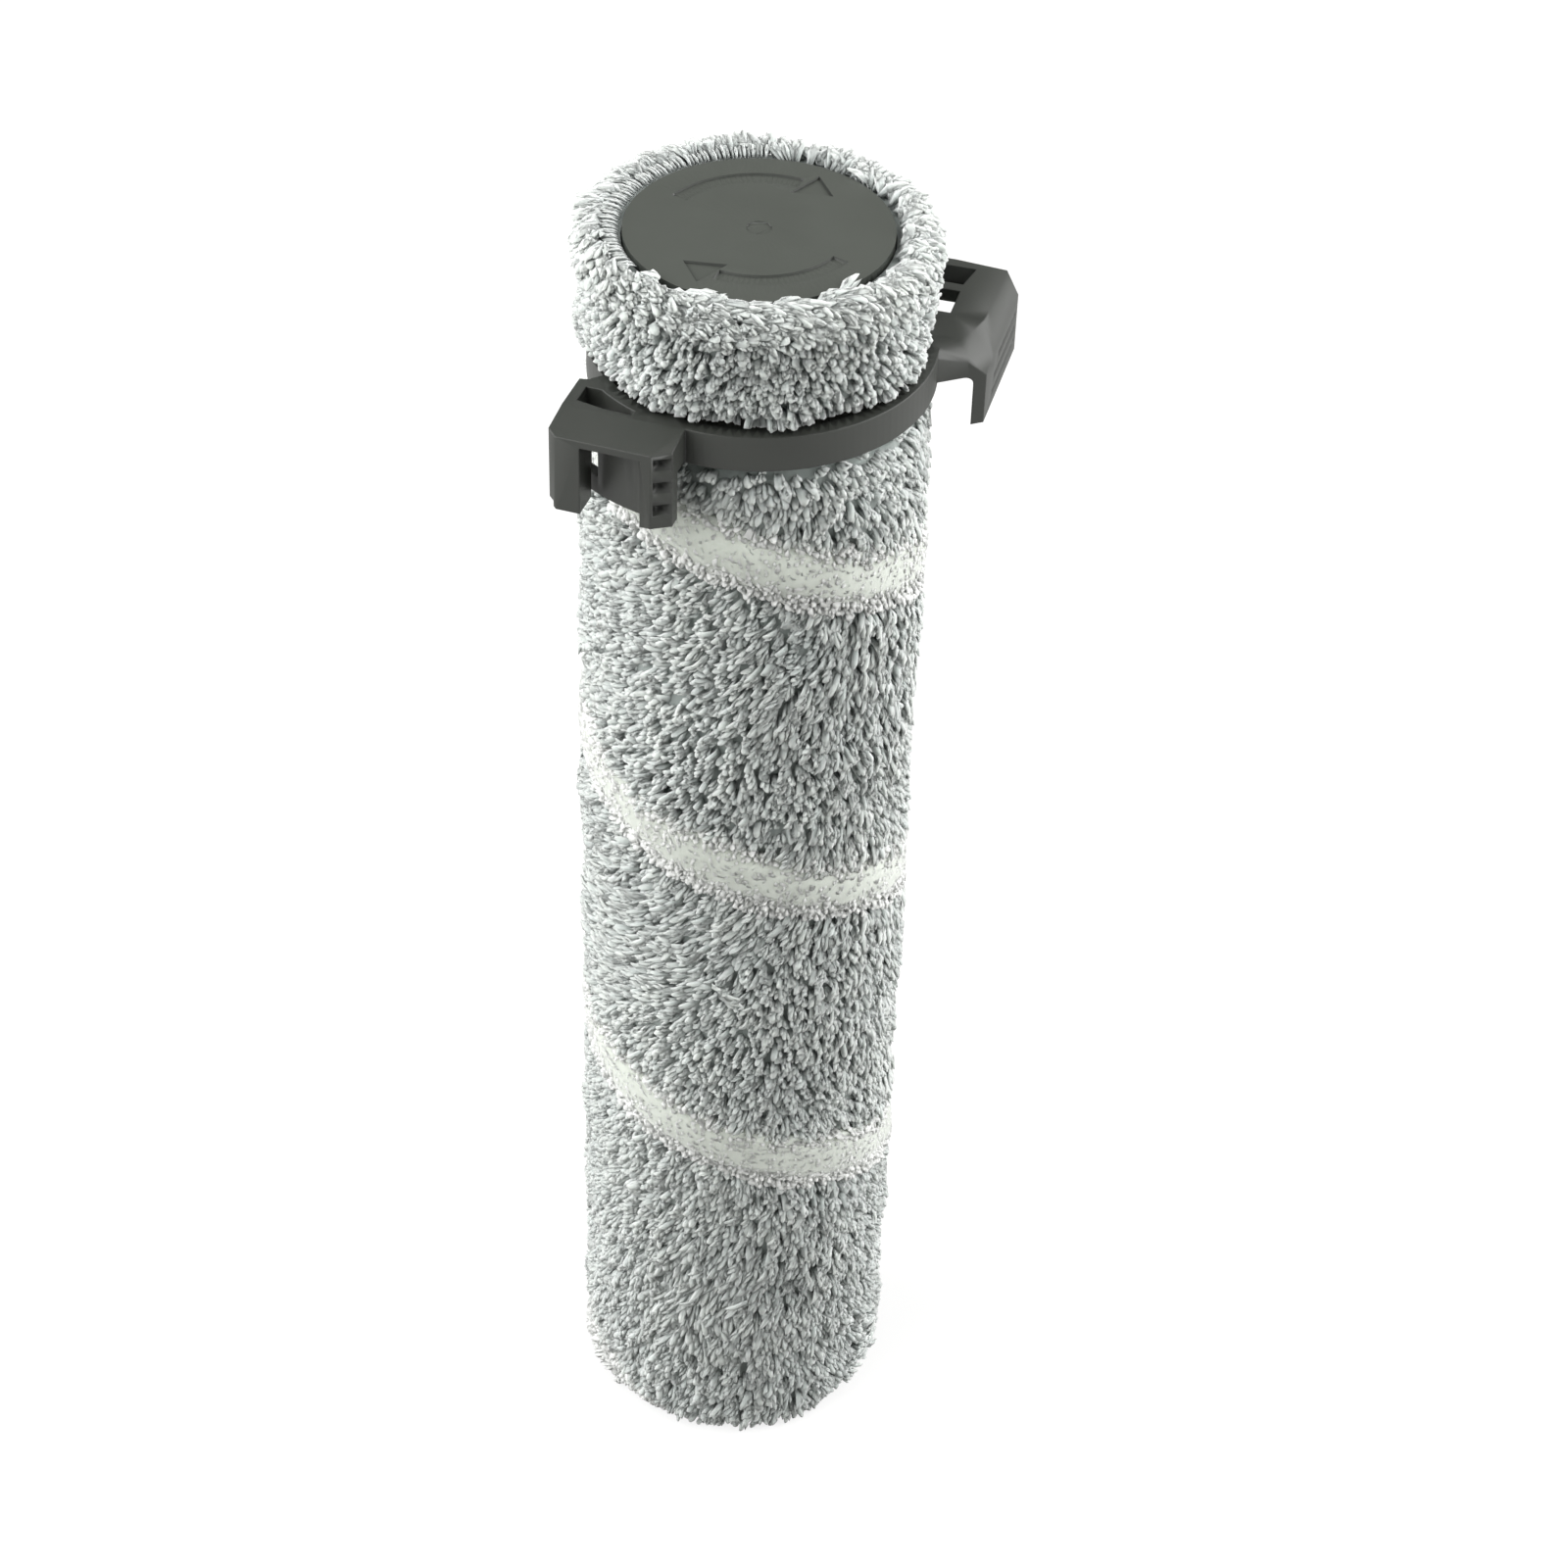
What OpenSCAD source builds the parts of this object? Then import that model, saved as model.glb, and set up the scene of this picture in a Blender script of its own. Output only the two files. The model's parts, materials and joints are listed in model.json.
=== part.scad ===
// Wet floor cleaner roller: a piled cleaning roller in two sections that turns on
// a ball bearing in a moulded bracket. It stands upright on its drive end.

/* [Pile] */
// Outside diameter over the pile
pile_d = 56; // [54:0.5:58]
// Length of the long pile sleeve
long_pile_len = 219.7; // [150:0.1:260]
// Length of the short pile sleeve
short_pile_len = 19.5; // [18:0.5:30]
// Height of the pile's lower edge above the standing face
pile_lift = 1; // [0.5:0.1:1.4]
// Fit between the pile's backing and the tube or hub under it
wrap_fit = 0.05; // [0.02:0.01:0.1]
// Rounding of the pile's outer edges
pile_round = 4; // [2:0.5:6]

/* [Stripe] */
// Axial distance between two turns of the white stripe
stripe_pitch = 64; // [60:1:72]
// Axial width of the white stripe
stripe_w = 10.5; // [8:0.5:14]
// Height of the stripe's middle where it crosses the +X side
stripe_z = 123.3; // [100:0.1:140]
// Depth of the stripe's pile below the grey pile's surface
stripe_sink = 0.6; // [0.4:0.1:1]

/* [Core tube] */
// Outside diameter of the core tube
tube_d = 42; // [41:0.1:43]
// Wall of the core tube
tube_wall = 2; // [1.8:0.1:2.2]
// Fit between the tube and the plugs pushed into it
plug_fit = 0.05; // [0.02:0.01:0.1]
// Thickness of the flanges that close the tube's ends
flange_t = 1.5; // [1.5:0.1:2]
// Section of the sealing rings
o_ring_d = 1.8; // [1.5:0.1:2]

/* [Drive socket] */
// Diameter of the drive socket's ribbed stretch
socket_d = 28; // [26:0.5:28.5]
// Diameter of the drive socket's plain lead-in
lead_d = 29; // [29:0.1:30]
// Depth of the drive socket's plain lead-in
lead_depth = 6; // [4:0.5:8]
// Full depth of the drive socket
socket_depth = 22; // [18:1:26]
// Thickness of the drive socket's floor
socket_floor = 2.5; // [2:0.5:4]
// Number of drive ribs
rib_count = 6; // [4:1:8]
// Width of a drive rib
rib_w = 3; // [2:0.5:4]
// Height of a drive rib above the bore's wall
rib_h = 3; // [2:0.5:4]
// Diameter of the pilot hole in the socket's floor
pilot_d = 6; // [4:0.5:8]

/* [Bearing] */
// Diameter of the spindle
spindle_d = 8; // [8:0.1:8.2]
// Outside diameter of the ball bearing
bearing_od = 22; // [22:0.1:23]
// Height of the ball bearing
bearing_h = 7; // [6.8:0.1:8]
// Diameter of the circle through the balls' middles
ball_circle_d = 15; // [15:0.05:15.2]
// Diameter of a ball
ball_d = 3.97; // [3.8:0.01:4]
// Number of balls
ball_count = 7; // [6:1:7]
// Running clearance between balls and raceways
ball_fit = 0.06; // [0.04:0.01:0.08]
// Fit of pressed and stacked pieces
press_fit = 0.02; // [0.01:0.01:0.04]
// Thickness of the bearing's shields
shield_t = 0.4; // [0.3:0.1:0.5]

/* [Spindle stack] */
// Height of the spacer under the bearing
lower_spacer_h = 1.7; // [1.6:0.1:2.2]
// Height of the spacer over the bearing
upper_spacer_h = 1.3; // [1.2:0.1:1.6]
// Wall of the spacers
spacer_wall = 1.8; // [1.4:0.1:2]
// Length of the end plug inside the tube
plug_len = 24; // [20:1:30]
// Wall of the plug's skirt and ribs
plug_wall = 2; // [1.6:0.1:2.4]
// Diameter of the boss that holds the spindle
plug_boss_d = 16; // [15:0.5:18]
// Depth of the spindle's flat
spindle_flat = 1; // [0.6:0.1:1.2]
// Diameter of the hub screw's shank
screw_d = 4; // [3.5:0.1:4.2]
// Length of the hub screw's shank under its washer
screw_len = 12; // [10:1:16]
// Diameter of the hub screw's head
screw_head_d = 7.6; // [7:0.1:8]
// Height of the hub screw's head
screw_head_h = 2.6; // [2:0.1:2.8]
// Thickness of the hub screw's washer
washer_t = 1; // [0.8:0.1:1.2]
// Outside diameter of the hub screw's washer
washer_d = 13; // [10:0.5:14]

/* [Short hub and cap] */
// Outside diameter of the boss in the short hub
hub_boss_d = 14; // [13:0.5:16]
// Height of the boss in the short hub
hub_boss_h = 8; // [6:0.5:8]
// Thickness of the short hub's web
hub_web_t = 2.5; // [2:0.1:3]
// Depth of the cap's face below the top of the pile
cap_sink = 0.8; // [0.4:0.1:1.4]
// Gap between the cap's edge and the pile
cap_edge_gap = 0.1; // [0.05:0.05:0.3]
// Thickness of the cap's disc
cap_t = 2.4; // [2:0.1:2.8]
// Depth of the cap's skirt in the hub
cap_skirt_h = 4.5; // [3.5:0.1:5]
// Wall of the cap's skirt
cap_wall = 1.5; // [1.2:0.1:2]
// Height of the snap bead on the cap's skirt
snap_h = 0.4; // [0.3:0.1:0.6]
// Depth of the turning arrows in the cap's face
arrow_depth = 0.4; // [0.3:0.05:0.6]
// Radius of the middle of the arrows' band
arrow_r = 15; // [14:0.1:15.5]
// Width of the arrows' band
arrow_w = 2.8; // [2:0.1:3.2]
// Width of the arrows' heads
arrow_head_w = 6.6; // [5:0.1:6.8]
// Angle over which an arrow's band runs
arrow_sweep = 81; // [60:1:95]
// Angle over which an arrow's head runs
arrow_head_sweep = 24; // [18:1:30]

/* [Bracket ring] */
// Outside diameter of the ring's front stretch
ring_d = 57; // [56.5:0.5:58]
// Outside diameter of the ring's rear stretch
rear_d = 53; // [52.5:0.1:53.5]
// Angle at which the ring's front stretch starts
ring_start = -152; // [-153:0.5:-151]
// Angle at which the ring's front stretch ends
ring_end = 54; // [50:1:55]
// Height of the bracket's ring
ring_h = 6; // [5.5:0.1:7]
// Wall of the bracket's ring
ring_wall = 2.5; // [2:0.1:3]
// Gap between the ring and the pile above and below it
ring_gap = 0.5; // [0.4:0.1:0.8]
// Thickness of the web between the ring and the bearing seat
web_t = 3; // [2.5:0.1:3.2]
// Wall of the bearing seat
seat_wall = 3; // [2.5:0.1:3.2]
// Thickness of the lip under the bearing
lip_t = 1.1; // [1:0.1:1.2]
// Width of the lip under the bearing
lip_w = 1.4; // [1:0.1:1.6]
// Thickness of the retaining ring over the bearing
retainer_t = 1; // [0.8:0.1:1.1]
// Width of the retaining ring
retainer_w = 2.5; // [2:0.1:2.8]
// Bite of the retaining ring in its groove
retainer_bite = 1; // [0.6:0.1:1.2]
// Opening angle of the retaining ring
retainer_gap_angle = 40; // [25:5:60]
// Radial width of the felt seals
felt_w = 4; // [3:0.5:4]
// Running gap between the felt seals and the faces they wipe
felt_gap = 0.3; // [0.3:0.05:0.5]

/* [Bracket blocks] */
// Direction of the front block around the axis
front_angle = -108; // [-110:1:-106]
// Direction of the side block around the axis
side_angle = -15; // [-17:1:-13]
// Drop of the blocks' legs below the ring
leg_drop = 8.2; // [7:0.1:10]
// Thickness of the blocks' top plates
plate_t = 2.2; // [2:0.1:2.6]
// Clear gap between the legs and the pile
leg_gap = 1.8; // [1.3:0.1:2]
// Reach of the front block beyond the ring
front_reach = 7.25; // [7:0.05:8.5]
// Fall of the front block's top towards its front face
front_fall = 1; // [0.5:0.1:1.2]
// Distance of the front block's outer wall from its middle line
front_left = 21.4; // [21:0.1:22]
// Wall of the front block
front_wall = 1.8; // [1.4:0.1:2.1]
// Chamfer of the front block's upright corner
front_corner = 1.6; // [1:0.1:2]
// Width of the front block's plain leg
plain_leg_w = 5.5; // [4.5:0.1:6]
// Depth of the front block's plain leg
plain_leg_depth = 5; // [4:0.1:6]
// Chamfer under the plain leg
leg_chamfer = 1; // [0.6:0.1:1.4]
// Distance of the slotted facet's near edge from the middle line
facet_edge = 4.55; // [4:0.05:5]
// Width that the slotted facet takes of the front face
facet_w = 2.9; // [2.4:0.1:3.4]
// Depth that the slotted facet cuts off the corner
facet_depth = 1.8; // [1.4:0.1:2.2]
// Width of the narrow face beside the slotted facet
narrow_face_w = 1.7; // [1.2:0.05:2.2]
// Depth of the front block's slotted leg
slotted_leg_depth = 4; // [3.5:0.1:5]
// Height of a slot in the slotted facet
slot_h = 2; // [1.6:0.1:2.4]
// Distance between two slots of the slotted facet
slot_pitch = 4.1; // [3.8:0.1:4.2]
// Depth of a slot in the slotted facet
slot_depth = 1.8; // [1.2:0.1:2]
// Radius of the outside of the front block's skirt
skirt_r = 33.8; // [33.4:0.1:34.4]
// Reach of the side block's outer wall beyond the ring
side_reach = 6.7; // [6.4:0.1:7.5]
// Thickness of the side block's outer wall
side_wall = 1.8; // [1.6:0.1:2.2]
// Distance of the side block's near end from its middle line
side_near = 7.9; // [7.5:0.1:8.5]
// Distance of the side block's far end from its middle line
side_far = 31.2; // [30.5:0.1:32]
// Width of the sloped face above the side block's outer wall
side_slope_w = 2.15; // [1.8:0.05:2.4]
// Height of the sloped face above the side block's outer wall
side_slope_h = 4; // [3.5:0.1:4.5]
// Distance between two grooves in the side block's outer wall
groove_pitch = 2.5; // [2.3:0.1:2.8]
// Height of a groove in the side block's outer wall
groove_h = 1.2; // [1:0.1:1.6]
// Depth of a groove in the side block's outer wall
groove_depth = 1; // [0.7:0.1:1.2]

/* [Hidden] */

round_fn = 96;
soft_fn = 72;
pile_fn = 72;
small_fn = 48;
cut = 1;
edge = 0.5;
felt_edge = 0.5;

pile_r = pile_d / 2;
tube_r = tube_d / 2;
tube_bore_r = tube_r - tube_wall;
plug_r = tube_bore_r - plug_fit;
o_ring_r = o_ring_d / 2;
o_ring_mid_r = tube_bore_r - o_ring_r - press_fit;
o_ring_groove_r = o_ring_mid_r - o_ring_r - press_fit;
ring_r = ring_d / 2;
rear_r = rear_d / 2;

// Heights, from the standing face up
pile_z0 = pile_lift;
long_pile_z1 = pile_z0 + long_pile_len;
ring_z0 = long_pile_z1 + ring_gap;
ring_z1 = ring_z0 + ring_h;
short_pile_z0 = ring_z1 + ring_gap;
pile_z1 = short_pile_z0 + short_pile_len;
bearing_z0 = ring_z0 + (ring_h - bearing_h) / 2;
bearing_z1 = bearing_z0 + bearing_h;
bearing_mid_z = (bearing_z0 + bearing_z1) / 2;
web_z0 = ring_z0 + (ring_h - web_t) / 2;
web_z1 = web_z0 + web_t;
raw_z1 = ring_z1 + edge;
plug_z1 = bearing_z0 - lower_spacer_h;
tube_z0 = flange_t;
tube_z1 = plug_z1 - flange_t;
plug_z0 = tube_z1 - plug_len;
hub_boss_z0 = bearing_z1 + upper_spacer_h;
hub_boss_z1 = hub_boss_z0 + hub_boss_h;
cap_z1 = pile_z1 - cap_sink;
cap_z0 = cap_z1 - cap_t;

// Bearing seat
spindle_r = spindle_d / 2;
bearing_r = bearing_od / 2;
ball_r = ball_d / 2;
race_groove_r = ball_r + ball_fit;
ball_circle_r = ball_circle_d / 2;
inner_shoulder_inset = 1.45;
outer_shoulder_inset = 1.25;
inner_shoulder_r = ball_circle_r - inner_shoulder_inset;
outer_shoulder_r = ball_circle_r + outer_shoulder_inset;
seat_r = bearing_r + press_fit;
seat_outer_r = seat_r + seat_wall;
retainer_z1 = bearing_z1 + retainer_t;
retainer_cover = 0.85;
seat_z0 = bearing_z0 - lip_t;
seat_z1 = retainer_z1 + retainer_cover;

// Short hub
hub_gap = 0.6;
hub_lift = 2.2;
hub_z0 = web_z1 + hub_lift;
hub_web_z0 = seat_z1 + hub_gap;
cap_skirt_r = tube_bore_r - plug_fit;
snap_lift = 1.2;
snap_z = cap_z0 - cap_skirt_h + snap_lift;

// Blocks
leg_z0 = ring_z0 - leg_drop;
leg_inner_r = pile_r + leg_gap;
plate_z0 = ring_z1 - plate_t;
front_n = ring_r + front_reach;
side_n = ring_r + side_reach;

function polar(r, a) = [r * cos(a), r * sin(a)];

// Plain ring about the axis between two heights
module ring(r_out, r_in, z0, z1, fn = round_fn) {
  translate([0, 0, z0]) difference() {
    cylinder(r = r_out, h = z1 - z0, $fn = fn);
    translate([0, 0, -cut]) cylinder(r = r_in, h = z1 - z0 + 2 * cut, $fn = fn);
  }
}

// Prism over an outline given along a block's own outward and sideways directions
module block_prism(z0, z1, outline) {
  translate([0, 0, z0]) linear_extrude(z1 - z0) polygon(outline);
}

// Wedge about the axis between two angles, for cutting sectors
sector_steps = 6;

module sector(a0, a1, r, z0, z1) {
  block_prism(z0, z1, [
    [0, 0], for (i = [0 : sector_steps]) polar(r, a0 + (a1 - a0) * i / sector_steps)
  ]);
}

// Sealing ring with a round section
module o_ring(z) {
  translate([0, 0, z]) rotate_extrude($fn = soft_fn)
    translate([o_ring_mid_r, 0]) circle(r = o_ring_r, $fn = 24);
}

module o_ring_groove(z) {
  ring(tube_r, o_ring_groove_r, z - o_ring_r - press_fit, z + o_ring_r + press_fit);
}

// Half section of a pile sleeve with rounded outer edges, drawn in all round by sink
module pile_section(z0, z1, sink) {
  translate([tube_r, z0 + pile_round])
    square([pile_r - sink - tube_r, z1 - z0 - 2 * pile_round]);
  translate([tube_r, z0 + sink])
    square([pile_r - tube_r - pile_round, z1 - z0 - 2 * sink]);
  for (z = [z0 + pile_round, z1 - pile_round])
    translate([pile_r - pile_round, z]) circle(r = pile_round - sink, $fn = 24);
}

module pile_body(z0, z1, sink = 0) {
  difference() {
    rotate_extrude($fn = pile_fn) pile_section(z0, z1, sink);
    translate([0, 0, z0 - cut])
      cylinder(r = tube_r + wrap_fit, h = z1 - z0 + 2 * cut, $fn = round_fn);
  }
}

// Flat-walled strip that winds down around the core tube as a left-hand helix.
// mid_z is the height of its middle at the +X side, and it overruns both ends.
strip_step = 20;
strip_offset = 3.7;
strip_in_r = tube_r - cut;
strip_out_r = pile_r + 2 * cut;

function strip_corners(mid_z, w, a) = [
  for (c = [[strip_in_r, -1], [strip_out_r, -1], [strip_out_r, 1], [strip_in_r, 1]])
    [each polar(c[0], a), mid_z - stripe_pitch * a / 360 + c[1] * w / 2]
];

module wound_strip(mid_z, w) {
  turn_z = stripe_pitch / 360;
  first = floor((mid_z - long_pile_z1 - w / 2) / turn_z / strip_step) - 1;
  last = ceil((mid_z - pile_z0 + w / 2) / turn_z / strip_step) + 1;
  count = last - first;
  points = [
    for (i = [0 : count])
      each strip_corners(mid_z, w, (first + i) * strip_step + strip_offset)
  ];
  sides = [
    for (i = [0 : count - 1], k = [0 : 3])
      let (a = 4 * i + k, b = 4 * i + (k + 1) % 4)
        each [[a, a + 4, b + 4], [a, b + 4, b]]
  ];
  end = 4 * count;
  ends = [[0, 1, 2], [0, 2, 3], [end + 2, end + 1, end], [end + 3, end + 2, end]];
  polyhedron(points, concat(ends, sides));
}

// Grey pile strip wound on the tube with a space between its turns for the white one
module long_pile_sleeve() {
  color("silver") intersection() {
    pile_body(pile_z0, long_pile_z1);
    wound_strip(stripe_z + stripe_pitch / 2, stripe_pitch - stripe_w);
  }
}

module white_pile_stripe() {
  color("whitesmoke") intersection() {
    pile_body(pile_z0, long_pile_z1, stripe_sink);
    wound_strip(stripe_z, stripe_w);
  }
}

module short_pile_sleeve() {
  color("silver") pile_body(short_pile_z0, pile_z1);
}

module core_tube() {
  color("gray") ring(tube_r, tube_bore_r, tube_z0, tube_z1);
}

// Open socket that the motor's drive dog enters from below
socket_r = socket_d / 2;
socket_len = socket_depth + socket_floor;
o_ring_inset = 4;
socket_o_ring_z = tube_z0 + o_ring_inset;

module drive_socket() {
  color("dimgray") difference() {
    union() {
      cylinder(r = plug_r, h = socket_len, $fn = round_fn);
      cylinder(r = tube_r, h = tube_z0, $fn = round_fn);
    }
    translate([0, 0, -cut]) cylinder(r = lead_d / 2, h = lead_depth + cut, $fn = round_fn);
    difference() {
      cylinder(r = socket_r, h = socket_depth, $fn = round_fn);
      for (i = [0 : rib_count - 1]) rotate([0, 0, i * 360 / rib_count])
        translate([socket_r - rib_h, -rib_w / 2, lead_depth])
          cube([rib_h + cut, rib_w, socket_depth]);
    }
    cylinder(r = pilot_d / 2, h = socket_len + cut, $fn = small_fn);
    o_ring_groove(socket_o_ring_z);
  }
}

module socket_o_ring() {
  color("black") o_ring(socket_o_ring_z);
}

// Plug that closes the tube's top and carries the spindle on a ribbed boss
plug_o_ring_z = tube_z1 - o_ring_inset;
plug_ring_z0 = tube_z1 - 2 * o_ring_inset;
plug_floor = 1.5;
plug_rib_count = 6;
plug_boss_r = plug_boss_d / 2;
plug_head_t = 2.5;

module end_plug() {
  color("dimgray") difference() {
    union() {
      ring(plug_r, plug_r - plug_wall - o_ring_d, plug_ring_z0, tube_z1);
      ring(plug_r, plug_r - plug_wall, plug_z0, plug_ring_z0 + edge);
      translate([0, 0, tube_z1 - plug_head_t]) cylinder(r = plug_r, h = plug_head_t, $fn = round_fn);
      translate([0, 0, tube_z1]) cylinder(r = tube_r, h = flange_t, $fn = round_fn);
      translate([0, 0, plug_z0]) cylinder(r = plug_boss_r, h = plug_len, $fn = round_fn);
      for (i = [0 : plug_rib_count - 1]) rotate([0, 0, i * 360 / plug_rib_count])
        translate([plug_boss_r - edge, -plug_wall / 2, plug_z0])
          cube([plug_r - plug_wall - plug_boss_r + 2 * edge, plug_wall, plug_len]);
    }
    translate([0, 0, plug_z0 + plug_floor])
      cylinder(r = spindle_r + press_fit, h = plug_len + flange_t, $fn = small_fn);
    o_ring_groove(plug_o_ring_z);
  }
}

module plug_o_ring() {
  color("black") o_ring(plug_o_ring_z);
}

// Steel spindle with a flat for the short hub and a tapped end
spindle_z0 = plug_z0 + plug_floor;
spindle_end_gap = 0.2;
spindle_z1 = hub_boss_z1 - spindle_end_gap;
tap_spare = 2;
tap_depth = screw_len + tap_spare;

module spindle_outline(grow) {
  intersection() {
    circle(r = spindle_r + grow, $fn = small_fn);
    translate([-spindle_d, -spindle_d]) square([spindle_d + spindle_r - spindle_flat + grow, 2 * spindle_d]);
  }
}

module spindle() {
  color("lightgray") difference() {
    union() {
      translate([0, 0, spindle_z0]) cylinder(r = spindle_r, h = hub_boss_z0 - spindle_z0, $fn = small_fn);
      translate([0, 0, hub_boss_z0 - edge])
        linear_extrude(spindle_z1 - hub_boss_z0 + edge) spindle_outline(0);
    }
    translate([0, 0, spindle_z1 - tap_depth])
      cylinder(r = screw_d / 2 + press_fit, h = tap_depth + cut, $fn = small_fn);
  }
}

module lower_spacer() {
  color("lightgray")
    ring(spindle_r + spacer_wall, spindle_r + press_fit, plug_z1, bearing_z0, small_fn);
}

module upper_spacer() {
  color("lightgray")
    ring(spindle_r + spacer_wall, spindle_r + press_fit, bearing_z1, hub_boss_z0, small_fn);
}

// Raceway as a round groove in the middle of a race
module raceway() {
  translate([0, 0, bearing_mid_z]) rotate_extrude($fn = soft_fn)
    translate([ball_circle_r, 0]) circle(r = race_groove_r, $fn = 32);
}

module bearing_inner_race() {
  color("lightgray") difference() {
    ring(inner_shoulder_r, spindle_r + press_fit, bearing_z0, bearing_z1, small_fn);
    raceway();
  }
}

module bearing_outer_race() {
  color("lightgray") difference() {
    ring(bearing_r, outer_shoulder_r, bearing_z0, bearing_z1);
    raceway();
  }
}

module ball_places() {
  for (i = [0 : ball_count - 1]) rotate([0, 0, i * 360 / ball_count])
    translate([ball_circle_r, 0, bearing_mid_z]) children();
}

module bearing_balls() {
  color("white") ball_places() sphere(r = ball_r, $fn = 24);
}

// Crown cage: its pockets open downwards and its rim closes over the balls
cage_skirt_h = 0.9;
cage_rim_h = 2.7;
cage_gap = 0.4;
cage_pocket_gap = 0.1;

module bearing_cage() {
  color("tan") difference() {
    ring(outer_shoulder_r - cage_gap, inner_shoulder_r + cage_gap,
         bearing_mid_z - cage_skirt_h, bearing_mid_z + cage_rim_h);
    ball_places() sphere(r = ball_r + cage_pocket_gap, $fn = 24);
  }
}

shield_inset = 0.2;
shield_gap = 0.2;

module shield(z0) {
  color("dimgray")
    ring(outer_shoulder_r - press_fit, inner_shoulder_r + shield_gap, z0, z0 + shield_t);
}

module bearing_lower_shield() {
  shield(bearing_z0 + shield_inset);
}

module bearing_upper_shield() {
  shield(bearing_z1 - shield_inset - shield_t);
}

// Open spring ring in the seat's groove over the bearing
module bearing_retainer() {
  color("silver") difference() {
    ring(seat_r + retainer_bite, seat_r + retainer_bite - retainer_w, bearing_z1, retainer_z1);
    translate([0, 0, bearing_z1 - cut]) linear_extrude(retainer_t + 2 * cut)
      polygon([[0, 0], for (side = [-1, 1]) polar(bearing_od, side * retainer_gap_angle / 2)]);
  }
}

felt_outer_r = tube_r - felt_edge;

module lower_felt_seal() {
  color("ivory") ring(felt_outer_r, felt_outer_r - felt_w, plug_z1 + felt_gap, web_z0);
}

module upper_felt_seal() {
  color("ivory") ring(felt_outer_r, felt_outer_r - felt_w, web_z1, hub_z0 - felt_gap);
}

// Ring, web and bearing seat of the bracket. The ring is wide at the front, between the
// two blocks, and narrower behind. Ring and blocks run past the bracket's top face, where
// one cut trims them all.
ring_overlap_angle = 5;
ring_inner_r = ring_r - ring_wall;
rear_inner_r = rear_r - ring_wall;

module front_ring() {
  intersection() {
    union() {
      ring(ring_r, ring_inner_r, ring_z0, raw_z1);
      ring(ring_inner_r + edge, rear_inner_r, web_z0, web_z1);
    }
    sector(ring_start, ring_end, ring_d, ring_z0 - cut, ring_z1 + cut);
  }
}

module rear_ring() {
  difference() {
    ring(rear_r, rear_inner_r, ring_z0, raw_z1);
    sector(ring_start + ring_overlap_angle, ring_end - ring_overlap_angle, ring_d,
           ring_z0 - cut, ring_z1 + cut);
  }
}

module bracket_ring() {
  difference() {
    union() {
      front_ring();
      rear_ring();
      ring(rear_inner_r + edge, seat_outer_r - edge, web_z0, web_z1);
      ring(seat_outer_r, seat_r, seat_z0, seat_z1);
      ring(seat_r + edge, seat_r - lip_w, seat_z0, bearing_z0);
    }
    ring(seat_r + retainer_bite + press_fit, seat_r - lip_w - cut, bearing_z1, retainer_z1 + press_fit);
  }
}

// Front block: a falling top plate, a plain leg, a slotted leg and a curved skirt between them
front_left_t = -front_left;
front_inner_t = front_left_t + front_wall;
plain_leg_t = front_left_t + plain_leg_w;
facet_n = front_n - facet_depth;
facet_t = facet_w - facet_edge;
narrow_t = -facet_edge - narrow_face_w;
wall_lift = 0.4;
wall_end_n = ring_r - 7.4;
wall_end_w = 1.7;
wall_root_t = front_left_t + 4.5;
pocket_end_t = -10.4;

// The blocks end just inside the ends of the ring's front stretch, in the ring's wall
end_step_angle = 0.5;

function into_ring(angle, from) =
  let (p = polar(ring_r, angle)) p + edge * (p - from) / norm(p - from);

front_ring_point = into_ring(ring_start - front_angle + end_step_angle, [wall_end_n, front_left_t]);

front_corner_points = [[front_n - front_corner, front_left_t], [front_n, front_left_t + front_corner]];
front_top_outline = [
  front_ring_point, [wall_end_n, front_left_t], each front_corner_points,
  [front_n, -facet_edge], [facet_n, facet_t], [ring_inner_r, facet_t]
];
front_wall_outline = [
  front_ring_point, [wall_end_n, front_left_t], front_corner_points[0],
  [front_n - front_corner, front_inner_t], [wall_end_n + wall_end_w, front_inner_t],
  [wall_end_n + wall_end_w, wall_root_t]
];
right_wall_outline = [
  [ring_inner_r, facet_t - front_wall], [facet_n - edge, facet_t - front_wall],
  [facet_n - edge, facet_t], [ring_inner_r, facet_t]
];
plain_leg_outline = [
  [front_n - plain_leg_depth, front_left_t], each front_corner_points, [front_n, plain_leg_t],
  [front_n - plain_leg_depth, plain_leg_t]
];
slotted_leg_outline = [
  [front_n - slotted_leg_depth, narrow_t], [front_n, narrow_t], [front_n, -facet_edge],
  [facet_n, facet_t], [front_n - slotted_leg_depth, facet_t]
];
// The pocket runs along the ring and closes towards the slotted leg
front_pocket_outline = [
  [wall_end_n + wall_end_w, front_inner_t], [ring_r - 1.8, front_inner_t],
  [ring_r - 0.9, front_inner_t + 4.7], [ring_r - 0.8, pocket_end_t],
  [ring_inner_r - 1, pocket_end_t], [wall_end_n + wall_end_w, pocket_end_t - 4.6]
];

skirt_start = -37;
skirt_end = -9;
skirt_lift = 0.4;
skirt_window = [-32.6, -26.3];
window_sill = 3.5;

module front_skirt() {
  difference() {
    intersection() {
      ring(skirt_r, skirt_r - front_wall, leg_z0 + skirt_lift, plate_z0 + edge);
      sector(skirt_start, skirt_end, 2 * skirt_r, leg_z0, ring_z1);
    }
    sector(skirt_window[0], skirt_window[1], 2 * skirt_r, leg_z0 + window_sill, plate_z0);
  }
}

// Slot that is deep beside the narrow face and runs out at the facet's far edge
facet_len = norm([facet_depth, facet_w]);
slot_count = 3;
slot_z = leg_z0 + 2.25;
slot_start = -0.38 * facet_len;
slot_deep_end = 0.1 * facet_len;
slot_end = 0.46 * facet_len;

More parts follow.
